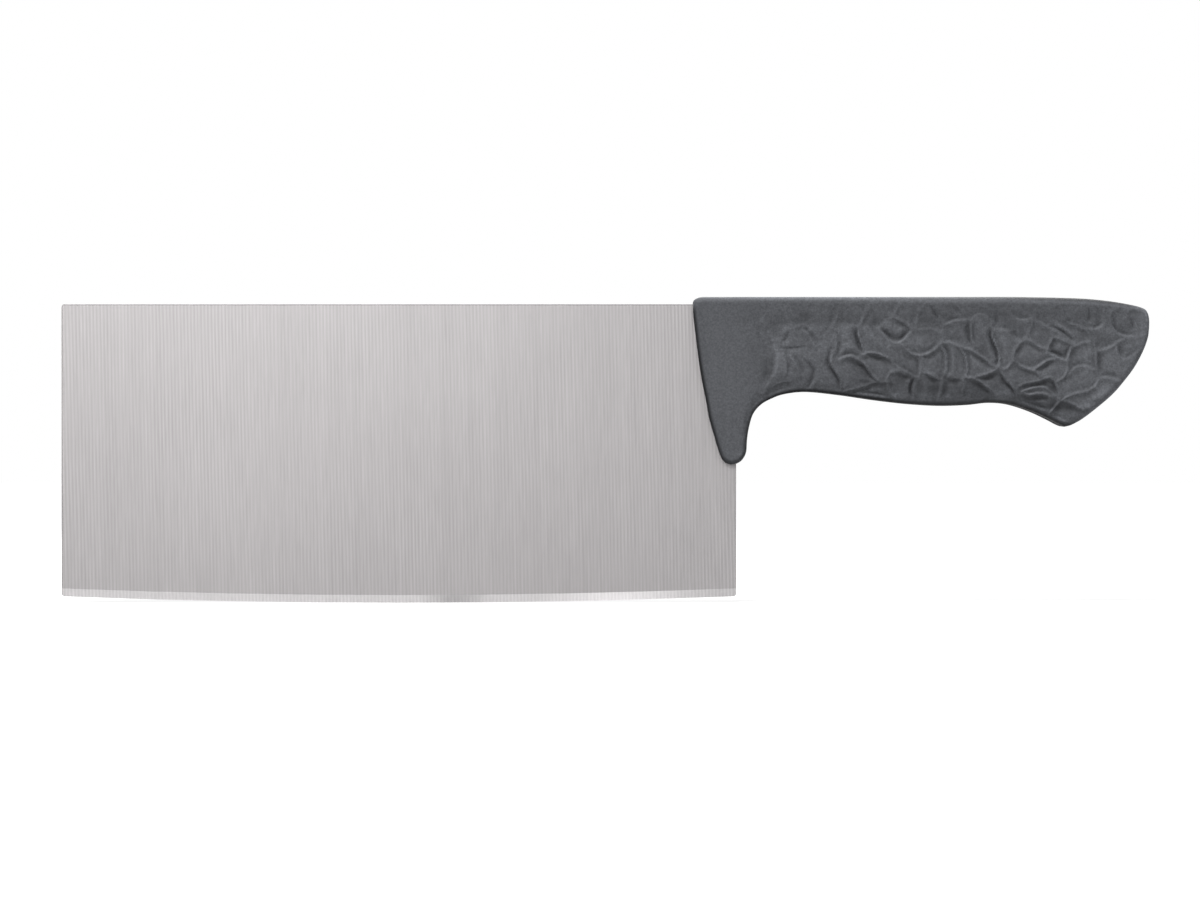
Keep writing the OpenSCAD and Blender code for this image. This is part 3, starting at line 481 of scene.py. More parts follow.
class GripSettings(bpy.types.PropertyGroup):
    """Sizes and finish of the moulded grip."""

    length: FloatProperty(
        name="Length", description="Length of the handle", unit="LENGTH", default=140.5 * MM,
        min=0.1, max=0.2,
    )
    guard_drop: FloatProperty(
        name="Guard drop", description="Depth of the finger guard below the handle's top",
        unit="LENGTH", default=51.7 * MM, min=0.03, max=0.08,
    )
    bolster_thickness: FloatProperty(
        name="Bolster thickness", description="Thickness of the bolster and guard", unit="LENGTH",
        default=17 * MM, min=0.01, max=0.03,
    )
    waist_thickness: FloatProperty(
        name="Waist thickness", description="Thickness behind the bolster", unit="LENGTH",
        default=18.5 * MM, min=0.01, max=0.03,
    )
    belly_thickness: FloatProperty(
        name="Belly thickness", description="Thickness in the palm", unit="LENGTH",
        default=22.5 * MM, min=0.01, max=0.03,
    )
    butt_thickness: FloatProperty(
        name="Butt thickness", description="Thickness at the butt", unit="LENGTH",
        default=20.5 * MM, min=0.01, max=0.03,
    )
    bolster_edge: FloatProperty(
        name="Bolster edge", description="Radius along the edges of bolster and guard",
        unit="LENGTH", default=1.8 * MM, min=0.0005, max=0.004,
    )
    under_round: FloatProperty(
        name="Under rounding", description="Height over which the sides round into the underside",
        unit="LENGTH", default=7 * MM, min=0.002, max=0.009,
    )
    top_round: FloatProperty(
        name="Top rounding", description="Height over which the sides round into the top",
        unit="LENGTH", default=2 * MM, min=0.0015, max=0.006,
    )
    under_flat: FloatProperty(
        name="Under flat", description="Flat width along the underside", unit="LENGTH",
        default=14 * MM, min=0.008, max=0.015,
    )
    top_flat: FloatProperty(
        name="Top flat", description="Flat width along the top", unit="LENGTH",
        default=15 * MM, min=0.008, max=0.016,
    )
    butt_edge: FloatProperty(
        name="Butt edge", description="Radius along the edge of the butt", unit="LENGTH",
        default=1.5 * MM, min=0.0008, max=0.0025,
    )
    crown: FloatProperty(
        name="Crown", description="How far the sides bulge across their height", unit="LENGTH",
        default=0.6 * MM, min=0.0, max=0.002,
    )
    relief_depth: FloatProperty(
        name="Relief depth", description="Depth of the relief at a share of 1", unit="LENGTH",
        default=1.75 * MM, min=0.0, max=0.002,
    )
    crest_width: FloatProperty(
        name="Crest width", description="Half width of the level top of a ridge", unit="LENGTH",
        default=0.1 * MM, min=0.0, max=0.001,
    )
    wall_width: FloatProperty(
        name="Wall width", description="Width of the wall beside a ridge", unit="LENGTH",
        default=0.8 * MM, min=0.0002, max=0.004,
    )
    slope_width: FloatProperty(
        name="Slope width", description="How far a facet's fall towards a ridge reaches",
        unit="LENGTH", default=2.2 * MM, min=0.0005, max=0.01,
    )
    seam_height: FloatProperty(
        name="Seam height", description="Height of the moulding seam along the rim",
        unit="LENGTH", default=0.12 * MM, min=0.0, max=0.001,
    )
    columns: IntProperty(
        name="Columns", description="Mesh columns along the grip", default=410, min=60, max=800,
    )
    rows: IntProperty(
        name="Rows", description="Mesh rows across the grip", default=112, min=20, max=300,
    )
    colour: FloatVectorProperty(
        name="Colour", description="Colour of the soft grip", subtype="COLOR",
        default=(0.064, 0.0663, 0.0725), min=0.0, max=1.0,
    )
    # How much lighter the ridges are painted, as rubbing and as a painted highlight
    wear_and_highlight_gain: FloatProperty(
        name="Wear gain", description="How much lighter the rubbed ridges are", default=1.25,
        min=1.0, max=3.0,
    )
    # How much darker the painted shade makes the deepest hollows
    hollow_shade_gain: FloatProperty(
        name="Hollow gain", description="How much darker the deepest hollows are", default=0.55, min=0.1,
        max=1.0,
    )
    # Painted light and shade: how much paler, or darker, the colour is painted at a shading of 1, or -1
    painted_shading_gain: FloatProperty(
        name="Tone gain", description="How much paler, or darker, the colour gets at a tone of 1, or -1",
        default=0.45, min=0.0, max=0.5,
    )
    # Width of the band of painted shade, or painted light, along the edges
    shaded_rim_width: FloatProperty(
        name="Rim width", description="Width of the darker band along the edges", unit="LENGTH",
        default=1.4 * MM, min=0.2 * MM, max=5 * MM,
    )
    grain: FloatProperty(
        name="Grain", description="Size of the moulded grain", unit="LENGTH", default=0.55 * MM,
        min=0.1 * MM, max=2 * MM,
    )


class CoreSettings(bpy.types.PropertyGroup):
    """Finish of the hard core."""

    colour: FloatVectorProperty(
        name="Colour", description="Colour of the hard plastic", subtype="COLOR",
        default=(0.05, 0.052, 0.055), min=0.0, max=1.0,
    )


class StageSettings(bpy.types.PropertyGroup):
    """Camera, lamps and floor."""

    camera_distance: FloatProperty(
        name="Camera distance", description="From the camera to the blade", unit="LENGTH",
        default=PHOTO_DISTANCE, min=0.5, max=5.0,
    )
    key_power: FloatProperty(
        name="Key power", description="Power of the soft lamp overhead, in watts", default=23.0, min=0.0,
        max=500.0,
    )
    front_power: FloatProperty(
        name="Front power", description="Power of the large lamp that the blade mirrors, in watts",
        default=7.7, min=0.0, max=500.0,
    )
    rear_power: FloatProperty(
        name="Rear power", description="Power of the soft lamp behind, in watts", default=14.0, min=0.0,
        max=500.0,
    )
    ambient: FloatProperty(
        name="Ambient", description="Brightness of the room on matte surfaces", default=0.14,
        min=0.0, max=2.0,
    )
    floor_colour: FloatVectorProperty(
        name="Floor colour", description="Colour of the floor", subtype="COLOR",
        default=(0.35, 0.35, 0.35), min=0.0, max=1.0,
    )


def photo_place(x_px, y_px):
    """X and Z of a pixel of the photograph, in the plane of the handle's outline."""
    x = GRIP_LOW.x + (x_px - HANDLE_FRONT_PX) * PIXEL
    z = GRIP_HIGH.z - (y_px - HANDLE_TOP_PX) * PIXEL
    return x, z


def curve(points, places):
    """Points at the given places, in spans, on the smooth curve through points."""
    points = np.asarray(points, float)
    places = np.asarray(places, float)
    last = len(points) - 1
    span = np.clip(np.floor(places).astype(int), 0, last - 1)
    f = (places - span)[..., None]
    a = points[np.maximum(span - 1, 0)]
    b = points[span]
    c = points[span + 1]
    d = points[np.minimum(span + 2, last)]
    bend = 2 * a - 5 * b + 4 * c - d
    twist = 3 * b - a - 3 * c + d
    return (2 * b + (c - a) * f + bend * f**2 + twist * f**3) / 2


def along(run, shares):
    """Values at shares of the way along evenly spaced values."""
    return curve(np.asarray(run, float)[:, None], np.asarray(shares) * (len(run) - 1))[..., 0]


def at_height(points, shares):
    """Points of a curve that rises steadily from foot to head, at shares of its height."""
    drops = np.asarray(points, float)[:, 1]
    rise = (drops[0] - drops) / (drops[0] - drops[-1])
    return curve(points, np.interp(shares, rise, np.arange(len(points))))


def eased(count, crowding):
    """Shares from 0 to 1 that crowd towards both ends."""
    t = np.linspace(0.0, 1.0, count)
    return t - crowding * np.sin(2 * np.pi * t) / (2 * np.pi)


def smooth_line(points, steps):
    """The smooth curve through points, in some steps from each point to the next."""
    spans = len(points) - 1
    return curve(points, np.linspace(0, spans, steps * spans + 1))


def outline():
    """Closed outline of the handle in shares, from the guard's tip along the underside."""
    parts = (FOOT_SHARES, BUTT_SHARES, HEAD_SHARES[::-1], FRONT_SHARES[::-1])
    return np.concatenate([smooth_line(part, OUTLINE_STEPS)[:-1] for part in parts])


def nearest_on_line(places, line, closed=False):
    """For each place, the gap from the nearest point of a line of points, the side, which is 1 on
    the walker's right, and the share of the way along the line."""
    starts = line if closed else line[:-1]
    ends = np.roll(line, -1, axis=0) if closed else line[1:]
    walked = np.concatenate([[0.0], np.cumsum(np.hypot(*(ends - starts).T))])
    best = np.full(len(places), np.inf)
    gaps = np.zeros((len(places), 2))
    side = np.zeros(len(places))
    way = np.zeros(len(places))
    for start, end, before, after in zip(starts, ends, walked, walked[1:]):
        run = end - start
        off = places - start
        f = np.clip(off @ run / (run @ run), 0.0, 1.0)
        gap = off - f[:, None] * run
        distance = np.hypot(gap[:, 0], gap[:, 1])
        nearer = distance < best
        cross = run[0] * gap[:, 1] - run[1] * gap[:, 0]
        turn = cross / (np.hypot(*run) * np.maximum(distance, TINY))
        gaps[nearer] = gap[nearer]
        side[nearer] = turn[nearer]
        way[nearer] = (before + f * (after - before))[nearer]
        best[nearer] = distance[nearer]
    return gaps, side, way / walked[-1]


def relief_share(places_px, crest_px, wall_px, slope_px):
    """Depth of the relief as a share of its full depth, and how much its ridges are painted lighter, as
    rubbing and as a painted highlight, at places in photograph pixels. Each facet is domed: it falls to
    the depths beside its lines, and each line stands as a ridge or a groove."""
    total = np.full(len(places_px), TINY)
    floor = np.zeros(len(places_px))
    crest = np.zeros(len(places_px))
    crest_total = np.full(len(places_px), TINY)
    crest_depth = np.zeros(len(places_px))
    wear = np.zeros(len(places_px))
    for wall_share, bank_share, slope_share, lines in RELIEF_TABLES:
        for on_line, on_left, on_right, points in lines:
            line = smooth_line(points, LINE_STEPS) + CREST_SHIFT_PX
            low = line.min(axis=0) - LINE_REACH_PX
            high = line.max(axis=0) + LINE_REACH_PX
            near = np.flatnonzero(np.all((places_px > low) & (places_px < high), axis=1))
            gap, side, way = nearest_on_line(places_px[near], line)
            distance = np.hypot(gap[:, 0], gap[:, 1])
            lean = gap @ np.array(BANK_DIRECTION) / np.maximum(distance, TINY)
            bank = smooth_step(lean, *BANK_LEAN)
            wall_end_px = crest_px + wall_px * (wall_share * (1 - bank) + bank_share * bank)
            swell = LINE_END_SHARE + (1 - LINE_END_SHARE) * np.sin(np.pi * way) ** SWELL_POWER
            blend = 0.5 + 0.5 * side
            beside = on_left * (1 - blend) + on_right * blend
            fall = np.exp(-np.maximum(distance - wall_end_px, 0.0) / (slope_px * slope_share))
            weight = (distance**2 + LINE_BLUNT_PX**2) ** PULL_POWER
            floor[near] += weight * (FACET_DEPTH + (beside - FACET_DEPTH) * swell * fall)
            total[near] += weight
            down_wall = np.clip((distance - crest_px) / (wall_end_px - crest_px), 0.0, 1.0)
            stands = (1 - down_wall) ** WALL_POWER
            crest[near] = np.maximum(crest[near], stands)
            crest_total[near] += stands**CROSSING_POWER
            crest_depth[near] += stands**CROSSING_POWER * on_line * swell
            # Rubbing and painted highlight along the tops of the ridges
            ridge = max(0.0, 1 - on_line / GROOVE_SHARE) * max(on_left, on_right)
            worn_and_lit = ridge * swell * np.exp(-((distance / (WORN_PX * wall_share)) ** 2))
            wear[near] = np.maximum(wear[near], worn_and_lit)
    depth = floor / total * (1 - crest) + crest_depth / crest_total * crest
    return depth, wear


def facet_share(places_px):
    """1 at places in photograph pixels on the facets, 0 on the smooth bolster and between them
    smooth."""
    start = np.array(RELIEF_START_PX, float)
    start_x = np.interp(places_px[:, 1], start[:, 1], start[:, 0])
    return smooth_step(places_px[:, 0], start_x - RELIEF_START_SOFT_PX, start_x)


def scoop_share(places_px):
    """How deep the scoops lie at places in photograph pixels, as a share of a full scoop."""
    share = np.zeros(len(places_px))
    for x_px, y_px, reach_x, reach_y, depth in SCOOPS:
        away = (places_px - (x_px, y_px)) / (reach_x, reach_y)
        share += depth * np.exp(-(away**2).sum(axis=1))
    return share


def smooth_step(values, low, high):
    """0 below low, 1 above high and smooth between."""
    t = np.clip((values - low) / (high - low), 0.0, 1.0)
    return t * t * (3 - 2 * t)


def grip_patch(s):
    """One side of the grip in the outline's plane: its points as a grid of columns and rows, in shares
    of the length and of the guard's drop, and its columns' and its rows' shares of the way."""
    spans = len(FOOT_SHARES) - 1
    fine = np.linspace(0, spans, MEASURE_STEPS * spans)
    runs = [np.hypot(*np.diff(curve(p, fine), axis=0).T) for p in (FOOT_SHARES, HEAD_SHARES)]
    covered = np.concatenate([[0.0], np.cumsum(runs[0] + runs[1])])
    stations = np.interp(eased(s.columns, COLUMN_CROWDING), covered / covered[-1], fine)
    shares = eased(s.rows, ROW_CROWDING)
    u = (stations / spans)[:, None, None]
    v = shares[None, :, None]
    foot = curve(FOOT_SHARES, stations)[:, None]
    head = curve(HEAD_SHARES, stations)[:, None]
    front = at_height(FRONT_SHARES, shares)[None]
    butt = at_height(BUTT_SHARES, shares)[None]
    foot_ends = [np.array(FOOT_SHARES[i]) for i in (0, -1)]
    head_ends = [np.array(HEAD_SHARES[i]) for i in (0, -1)]
    corners = (1 - u) * ((1 - v) * foot_ends[0] + v * head_ends[0])
    corners = corners + u * ((1 - v) * foot_ends[1] + v * head_ends[1])
    places = (1 - v) * foot + v * head + (1 - u) * front + u * butt - corners
    return places, stations / spans, shares


def half_thickness(s, share, column, row, depth):
    """Half the grip's thickness at points, from their shares of its length, of the way along the
    columns and of the way up the rows, and from their depths inside the outline."""
    bolster_flat = s.bolster_thickness - 2 * s.bolster_edge
    butt_flat = s.butt_thickness - 2 * s.butt_edge
    thickness = (s.bolster_thickness, s.bolster_thickness, s.waist_thickness,
                 s.belly_thickness, s.belly_thickness, s.butt_thickness)
    sections = (
        (s.bolster_edge, s.under_round, s.butt_edge),
        (s.bolster_edge, s.top_round, s.butt_edge),
        (bolster_flat, s.under_flat, butt_flat),
        (bolster_flat, s.top_flat, butt_flat),
    )
    runs = [along((front, front, middle, middle, middle, rear), column)
            for front, middle, rear in sections]
    under_round, top_round, under_flat, top_flat = runs
    round_height = (1 - row) * under_round + row * top_round
    rim = ((1 - row) * under_flat + row * top_flat) / 2
    side = along(thickness, share) / 2 + s.crown * share * 4 * row * (1 - row)
    to_go = 1 - np.minimum(depth / round_height, 1)
    return rim + (side - rim) * np.sqrt(1 - to_go**2)


def grip_sheet(s):
    """One side of the grip: the X, half thickness and Z of its points as a grid of columns and rows,
    and their depths inside the outline."""
    places, columns, rows = grip_patch(s)
    size = np.array([s.length, s.guard_drop])
    flat = places.reshape(-1, 2) * size
    gap, _, _ = nearest_on_line(flat, outline() * size, closed=True)
    depth = np.hypot(gap[:, 0], gap[:, 1])
    depth[depth < ON_OUTLINE] = 0.0
    share = np.clip(flat[:, 0] / s.length, 0.0, 1.0)
    half = half_thickness(s, share, np.repeat(columns, s.rows), np.tile(rows, s.columns), depth)
    x = GRIP_LOW.x + flat[:, 0]
    z = GRIP_HIGH.z - flat[:, 1]
    grid = np.stack([x, half, z], axis=1).reshape(s.columns, s.rows, 3)
    return grid, depth.reshape(s.columns, s.rows)


def seen_at(grid):
    """Pixels of the photograph at which the points of a side of the grip show."""
    flat_px = np.stack([HANDLE_FRONT_PX + (grid[..., 0] - GRIP_LOW.x) / PIXEL,
                        HANDLE_TOP_PX + (GRIP_HIGH.z - grid[..., 2]) / PIXEL], axis=-1)
    nearness = PHOTO_DISTANCE / (PHOTO_DISTANCE - grid[..., 1:2])
    return PHOTO_MIDDLE_PX + (flat_px - PHOTO_MIDDLE_PX) * nearness


def relieved(grid, depth, s):
    """The same side with its scoops and ridges pressed in square to the surface, and the values that
    the material needs at each of its points."""
    along_columns = np.gradient(grid, axis=0)
    along_rows = np.gradient(grid, axis=1)
    normals = np.cross(along_rows, along_columns)
    normals /= np.linalg.norm(normals, axis=2, keepdims=True)
    seen_px = seen_at(grid)
    x_px, y_px = seen_px[..., 0], seen_px[..., 1]
    places_px = seen_px.reshape(-1, 2)
    widths_px = [width / PIXEL for width in (s.crest_width, s.wall_width, s.slope_width)]
    found = (*relief_share(places_px, *widths_px), facet_share(places_px), scoop_share(places_px))
    share, wear, facets, scoops = (part.reshape(grid.shape[:2]) for part in found)
    off_rim = smooth_step(depth, *RIM_FADE)
    off_top = TOP_FADE_SHARE + (1 - TOP_FADE_SHARE) * smooth_step(y_px, *TOP_FADE_PX)
    # Depth of the hollows, which also sets the painted shade in them
    hollow = share * facets * off_rim * off_top
    scoops = scoops * off_rim
    # Painted shading: the bands and the rims, with deep scoops painted darker and high ones lighter
    tone = painted_shading_at(x_px, y_px, depth, s) - SCOOP_PAINTED_SHADING * scoops
    pressed = s.relief_depth * np.maximum(hollow + SCOOP_DEPTH * scoops, 0.0)
    values = {"hollow": hollow, "wear": wear * facets * off_top, "facets": facets, "tone": tone}
    return grid - normals * pressed[..., None], values


def painted_shading_at(x_px, y_px, depth, s):
    """How much paler, or darker below 0, the grip's colour is painted at places in photograph pixels
    that lie at some depth inside the outline, as painted light and shade: along its edges, under its top
    and above its underside."""
    shadings = [np.interp(x_px, PAINTED_SHADING_PLACES_PX, row) for row in PAINTED_SHADINGS]
    edge_shading, side_shading, under_shading, crest_shading, top_shading = shadings
    at_edge = 1 - smooth_step(depth, 0.0, s.shaded_rim_width)
    below_top = smooth_step(y_px, *TOP_EDGE_PX)
    under_top = (1 - smooth_step(y_px, *TOP_BAND_PX)) * smooth_step(depth, *TOP_BAND_RIM)
    above_under = (1 - smooth_step(depth, 0.0, UNDER_BAND)) * smooth_step(y_px, *UNDER_BAND_PX)
    on_rim = at_edge * (edge_shading * below_top + crest_shading * (1 - below_top))
    return on_rim + side_shading + top_shading * under_top + under_shading * above_under


def grip_mesh(s):
    """Closed mesh of the grip: near side, far side and the rim between them with its seam."""
    grid, depth = grip_sheet(s)
    side, surface_values = relieved(grid, depth, s)
    columns, rows = side.shape[:2]
    near = side * np.array([1, -1, 1])
    index = np.arange(columns * rows).reshape(columns, rows)
    ring = np.concatenate([index[:, 0], index[-1, 1:], index[-2::-1, -1], index[0, -2:0:-1]])
    flat = near.reshape(-1, 3)
    far_start = columns * rows
    edge = flat[ring]
    following = np.roll(edge, -1, axis=0) - np.roll(edge, 1, axis=0)
    outward = np.stack([following[:, 2], np.zeros(len(edge)), -following[:, 0]], axis=1)
    outward /= np.linalg.norm(outward, axis=1, keepdims=True)
    rim_rows = []
    for place, height in zip(RIM_PLACES, SEAM_HEIGHTS):
        strip = edge * np.array([1, -place, 1]) + outward * (height * s.seam_height)
        rim_rows.append(strip)
    points = np.concatenate([flat, flat * np.array([1, -1, 1]), *rim_rows])
    count = len(ring)
    rim_index = [ring] + [2 * far_start + k * count + np.arange(count) for k in range(len(RIM_PLACES))]
    rim_index.append(ring + far_start)
    cells = np.stack([index[:-1, :-1], index[1:, :-1], index[1:, 1:], index[:-1, 1:]], axis=-1)
    cells = cells.reshape(-1, 4)
    strips = []
    for one, other in zip(rim_index, rim_index[1:]):
        strips.append(np.stack([np.roll(one, -1), one, other, np.roll(other, -1)], axis=1))
    faces = np.concatenate([cells, cells[:, ::-1] + far_start, *strips])
    mesh = bpy.data.meshes.new("grip_skin")
    mesh.from_pydata(points.tolist(), [], faces.tolist())
    mesh.validate()
    mesh.shade_smooth()
    under = smooth_step(-outward[:, 2], *UNDERSIDE_LEAN)
    for name, values in surface_values.items():
        values = values.reshape(-1)
        # The rim wall takes the painted shading of the edge beside it, all of it on the underside
        rim_share = under + RIM_PAINTED_SHADING * (1 - under) if name == "tone" else 1.0
        rim_values = np.tile(values[ring] * rim_share, len(RIM_PLACES))
        layer = mesh.attributes.new(name, "FLOAT", "POINT")
        layer.data.foreach_set("value", np.concatenate([values, values, rim_values]))
    mesh.update()
    return mesh


def feed(tree, socket, value):
    """Links a socket to another node's output, or sets it to a value."""
    if isinstance(value, bpy.types.NodeSocket):
        tree.links.new(value, socket)
    else:
        socket.default_value = value


def math_node(tree, operation, first, second=0.0):
    """Output of a Math node."""
    made = tree.nodes.new("ShaderNodeMath")
    made.operation = operation
    feed(tree, made.inputs[0], first)
    feed(tree, made.inputs[1], second)
    return made.outputs[0]


def ramp(tree, value, low, high, to_low=0.0, to_high=1.0, smooth=True):
    """Output of a Map Range node."""
    made = tree.nodes.new("ShaderNodeMapRange")
    made.interpolation_type = "SMOOTHSTEP" if smooth else "LINEAR"
    tree.links.new(value, made.inputs["Value"])
    made.inputs["From Min"].default_value = low
    made.inputs["From Max"].default_value = high
    made.inputs["To Min"].default_value = to_low
    made.inputs["To Max"].default_value = to_high
    return made.outputs["Result"]


def mix_colours(tree, share, first, second, blend="MIX"):
    """Output of a colour Mix node."""
    made = tree.nodes.new("ShaderNodeMix")
    made.data_type = "RGBA"
    made.blend_type = blend
    colours = [socket for socket in made.inputs if socket.type == "RGBA"]
    feed(tree, made.inputs["Factor"], share)
    for socket, value in zip(colours, (first, second)):
        feed(tree, socket, (*value, 1.0) if isinstance(value, tuple) else value)
    return next(socket for socket in made.outputs if socket.type == "RGBA")


def spread(tree, value, low, high):
    """A noise spread evenly from low to high."""
    return ramp(tree, value, *NOISE_RANGE, low, high, smooth=False)


def varied(tree, value, contrast):
    """A factor near 1 that follows a noise by a share either way."""
    return spread(tree, value, 1 - contrast, 1 + contrast)


def noise(tree, scales, detail=2.0, roughness=0.5):
    """Output of a Noise Texture node, with a scale for each axis of the object."""
    places = tree.nodes.new("ShaderNodeTexCoord").outputs["Object"]
    mapping = tree.nodes.new("ShaderNodeMapping")
    tree.links.new(places, mapping.inputs["Vector"])
    mapping.inputs["Scale"].default_value = scales
    made = tree.nodes.new("ShaderNodeTexNoise")
    tree.links.new(mapping.outputs["Vector"], made.inputs["Vector"])
    made.inputs["Scale"].default_value = 1.0
    made.inputs["Detail"].default_value = detail
    made.inputs["Roughness"].default_value = roughness
    return made.outputs[0]


def axes_of(tree, kind):
    """Outputs X, Y and Z of the object's coordinates or of its normals."""
    split = tree.nodes.new("ShaderNodeSeparateXYZ")
    tree.links.new(tree.nodes.new("ShaderNodeTexCoord").outputs[kind], split.inputs[0])
    return split.outputs


def mesh_value(tree, name):
    """Output of an Attribute node for a value kept on the mesh."""
    made = tree.nodes.new("ShaderNodeAttribute")
    made.attribute_name = name
    return made.outputs["Fac"]


def new_material(name):
    """A new material, its tree and its Principled shader, which is linked to the output."""
    made = bpy.data.materials.new(name)
    made.use_nodes = True
    tree = made.node_tree
    tree.nodes.clear()
    shader = tree.nodes.new("ShaderNodeBsdfPrincipled")
    output = tree.nodes.new("ShaderNodeOutputMaterial")
    tree.links.new(shader.outputs[0], output.inputs["Surface"])
    return made, tree, shader


def bump(tree, height, distance):
    """Normal output of a Bump node."""
    made = tree.nodes.new("ShaderNodeBump")
    tree.links.new(height, made.inputs["Height"])
    made.inputs["Distance"].default_value = distance
    return made.outputs["Normal"]


def shaded(tree, colour, shade):
    """A colour times a shade, which leaves it as it is at 1."""
    grey = tree.nodes.new("ShaderNodeCombineColor")
    for socket in grey.inputs:
        tree.links.new(shade, socket)
    return mix_colours(tree, 1.0, colour, grey.outputs[0], "MULTIPLY")


def product(tree, *factors):
    """Product of several values."""
    result = factors[0]
    for factor in factors[1:]:
        result = math_node(tree, "MULTIPLY", result, factor)
    return result


def between(tree, share, low, high):
    """Value at a share of the way from low to high."""
    span = math_node(tree, "SUBTRACT", high, low)
    return math_node(tree, "ADD", math_node(tree, "MULTIPLY", share, span), low)


def stretch_along(tree, along_edge, middle, half_length, at_middle):
    """A factor of at_middle at the middle of a stretch of the edge, and of 1 beyond its ends."""
    offset = math_node(tree, "SUBTRACT", along_edge, middle)
    distance = math_node(tree, "ABSOLUTE", offset)
    return ramp(tree, distance, 0.0, half_length, at_middle, 1.0)


def blade_steel(s):
    """Stainless steel with even grinding lines nearly square to the edge and fine scratches between
    them. The bevel is paler, partly its own finish and partly a painted reflection of the floor, with
    stretches of painted reflection along it, and thin painted shade lines run along the tip, the spine
    and the heel."""
    made, tree, shader = new_material("blade_steel")
    place = axes_of(tree, "Object")
    x, z = place["X"], place["Z"]
    drift = math_node(tree, "MULTIPLY", noise(tree, DRIFT_SCALES), LINE_DRIFT)
    across = math_node(tree, "ADD", x, math_node(tree, "MULTIPLY", z, s.line_lean))
    turns = math_node(tree, "MULTIPLY", across, 2 * math.pi / s.line_pitch)
    wave = math_node(tree, "SINE", math_node(tree, "ADD", turns, drift))
    strength = spread(tree, noise(tree, PATCH_SCALES), *LINE_STRENGTHS)
    line_shade = math_node(tree, "ADD", product(tree, wave, strength, s.line_contrast), 1.0)
    fine = 1 / s.scratch_width
    scratches = noise(tree, (fine, fine, fine * SCRATCH_SHARE))
    bands = noise(tree, (fine * BAND_SHARE, 1.0, BAND_SCALE), detail=3.0, roughness=0.6)
    clouds = noise(tree, CLOUD_SCALES, detail=3.0, roughness=0.55)
    heel = BLADE_LOW.x + s.length
    # Painted shade: thin darker lines along the tip, the spine and the heel, in place of the darker
    # surroundings mirrored in the edges
    painted_tip_shade = ramp(tree, x, BLADE_LOW.x, BLADE_LOW.x + s.edge_shade_width, TIP_SHADE, 1.0)
    painted_spine_shade = ramp(tree, z, BLADE_HIGH.z - s.edge_shade_width, BLADE_HIGH.z, 1.0, SPINE_SHADE)
    painted_heel_shade = ramp(tree, x, heel - s.edge_shade_width, heel, 1.0, HEEL_SHADE)
    downward = math_node(tree, "MULTIPLY", axes_of(tree, "Normal")["Z"], -1.0)
    bevel = ramp(tree, downward, *BEVEL_LEAN)
    # Painted reflection: the bevel's colour is darker and lighter in stretches along the edge, standing
    # in for the reflections on it
    dull = stretch_along(tree, x, BLADE_LOW.x + s.dull_reflection_place, *DULL_REFLECTION_STRETCH)
    bright = stretch_along(tree, x, BLADE_LOW.x + s.bright_reflection_place, *BRIGHT_REFLECTION_STRETCH)
    heel_end = stretch_along(tree, x, heel, *HEEL_REFLECTION_STRETCH)
    painted_reflection = between(tree, bevel, 1.0, product(tree, dull, bright, heel_end))
    finish = product(
        tree, line_shade, varied(tree, scratches, SCRATCH_CONTRAST), varied(tree, bands, BAND_CONTRAST),
        varied(tree, clouds, CLOUD_CONTRAST),
    )
    shade = product(tree, finish, painted_tip_shade, painted_spine_shade, painted_heel_shade, painted_reflection)
    # The bevel's paler colour is partly a painted reflection
    colour = mix_colours(tree, bevel, tuple(s.steel), tuple(s.bevel_steel_and_reflection))
    tree.links.new(shaded(tree, colour, shade), shader.inputs["Base Color"])
    rough = math_node(tree, "MULTIPLY", varied(tree, scratches, ROUGHNESS_CONTRAST), s.roughness)
    tree.links.new(rough, shader.inputs["Roughness"])
    tree.links.new(bump(tree, wave, s.line_depth), shader.inputs["Normal"])
    shader.inputs["Metallic"].default_value = 1.0
    return made


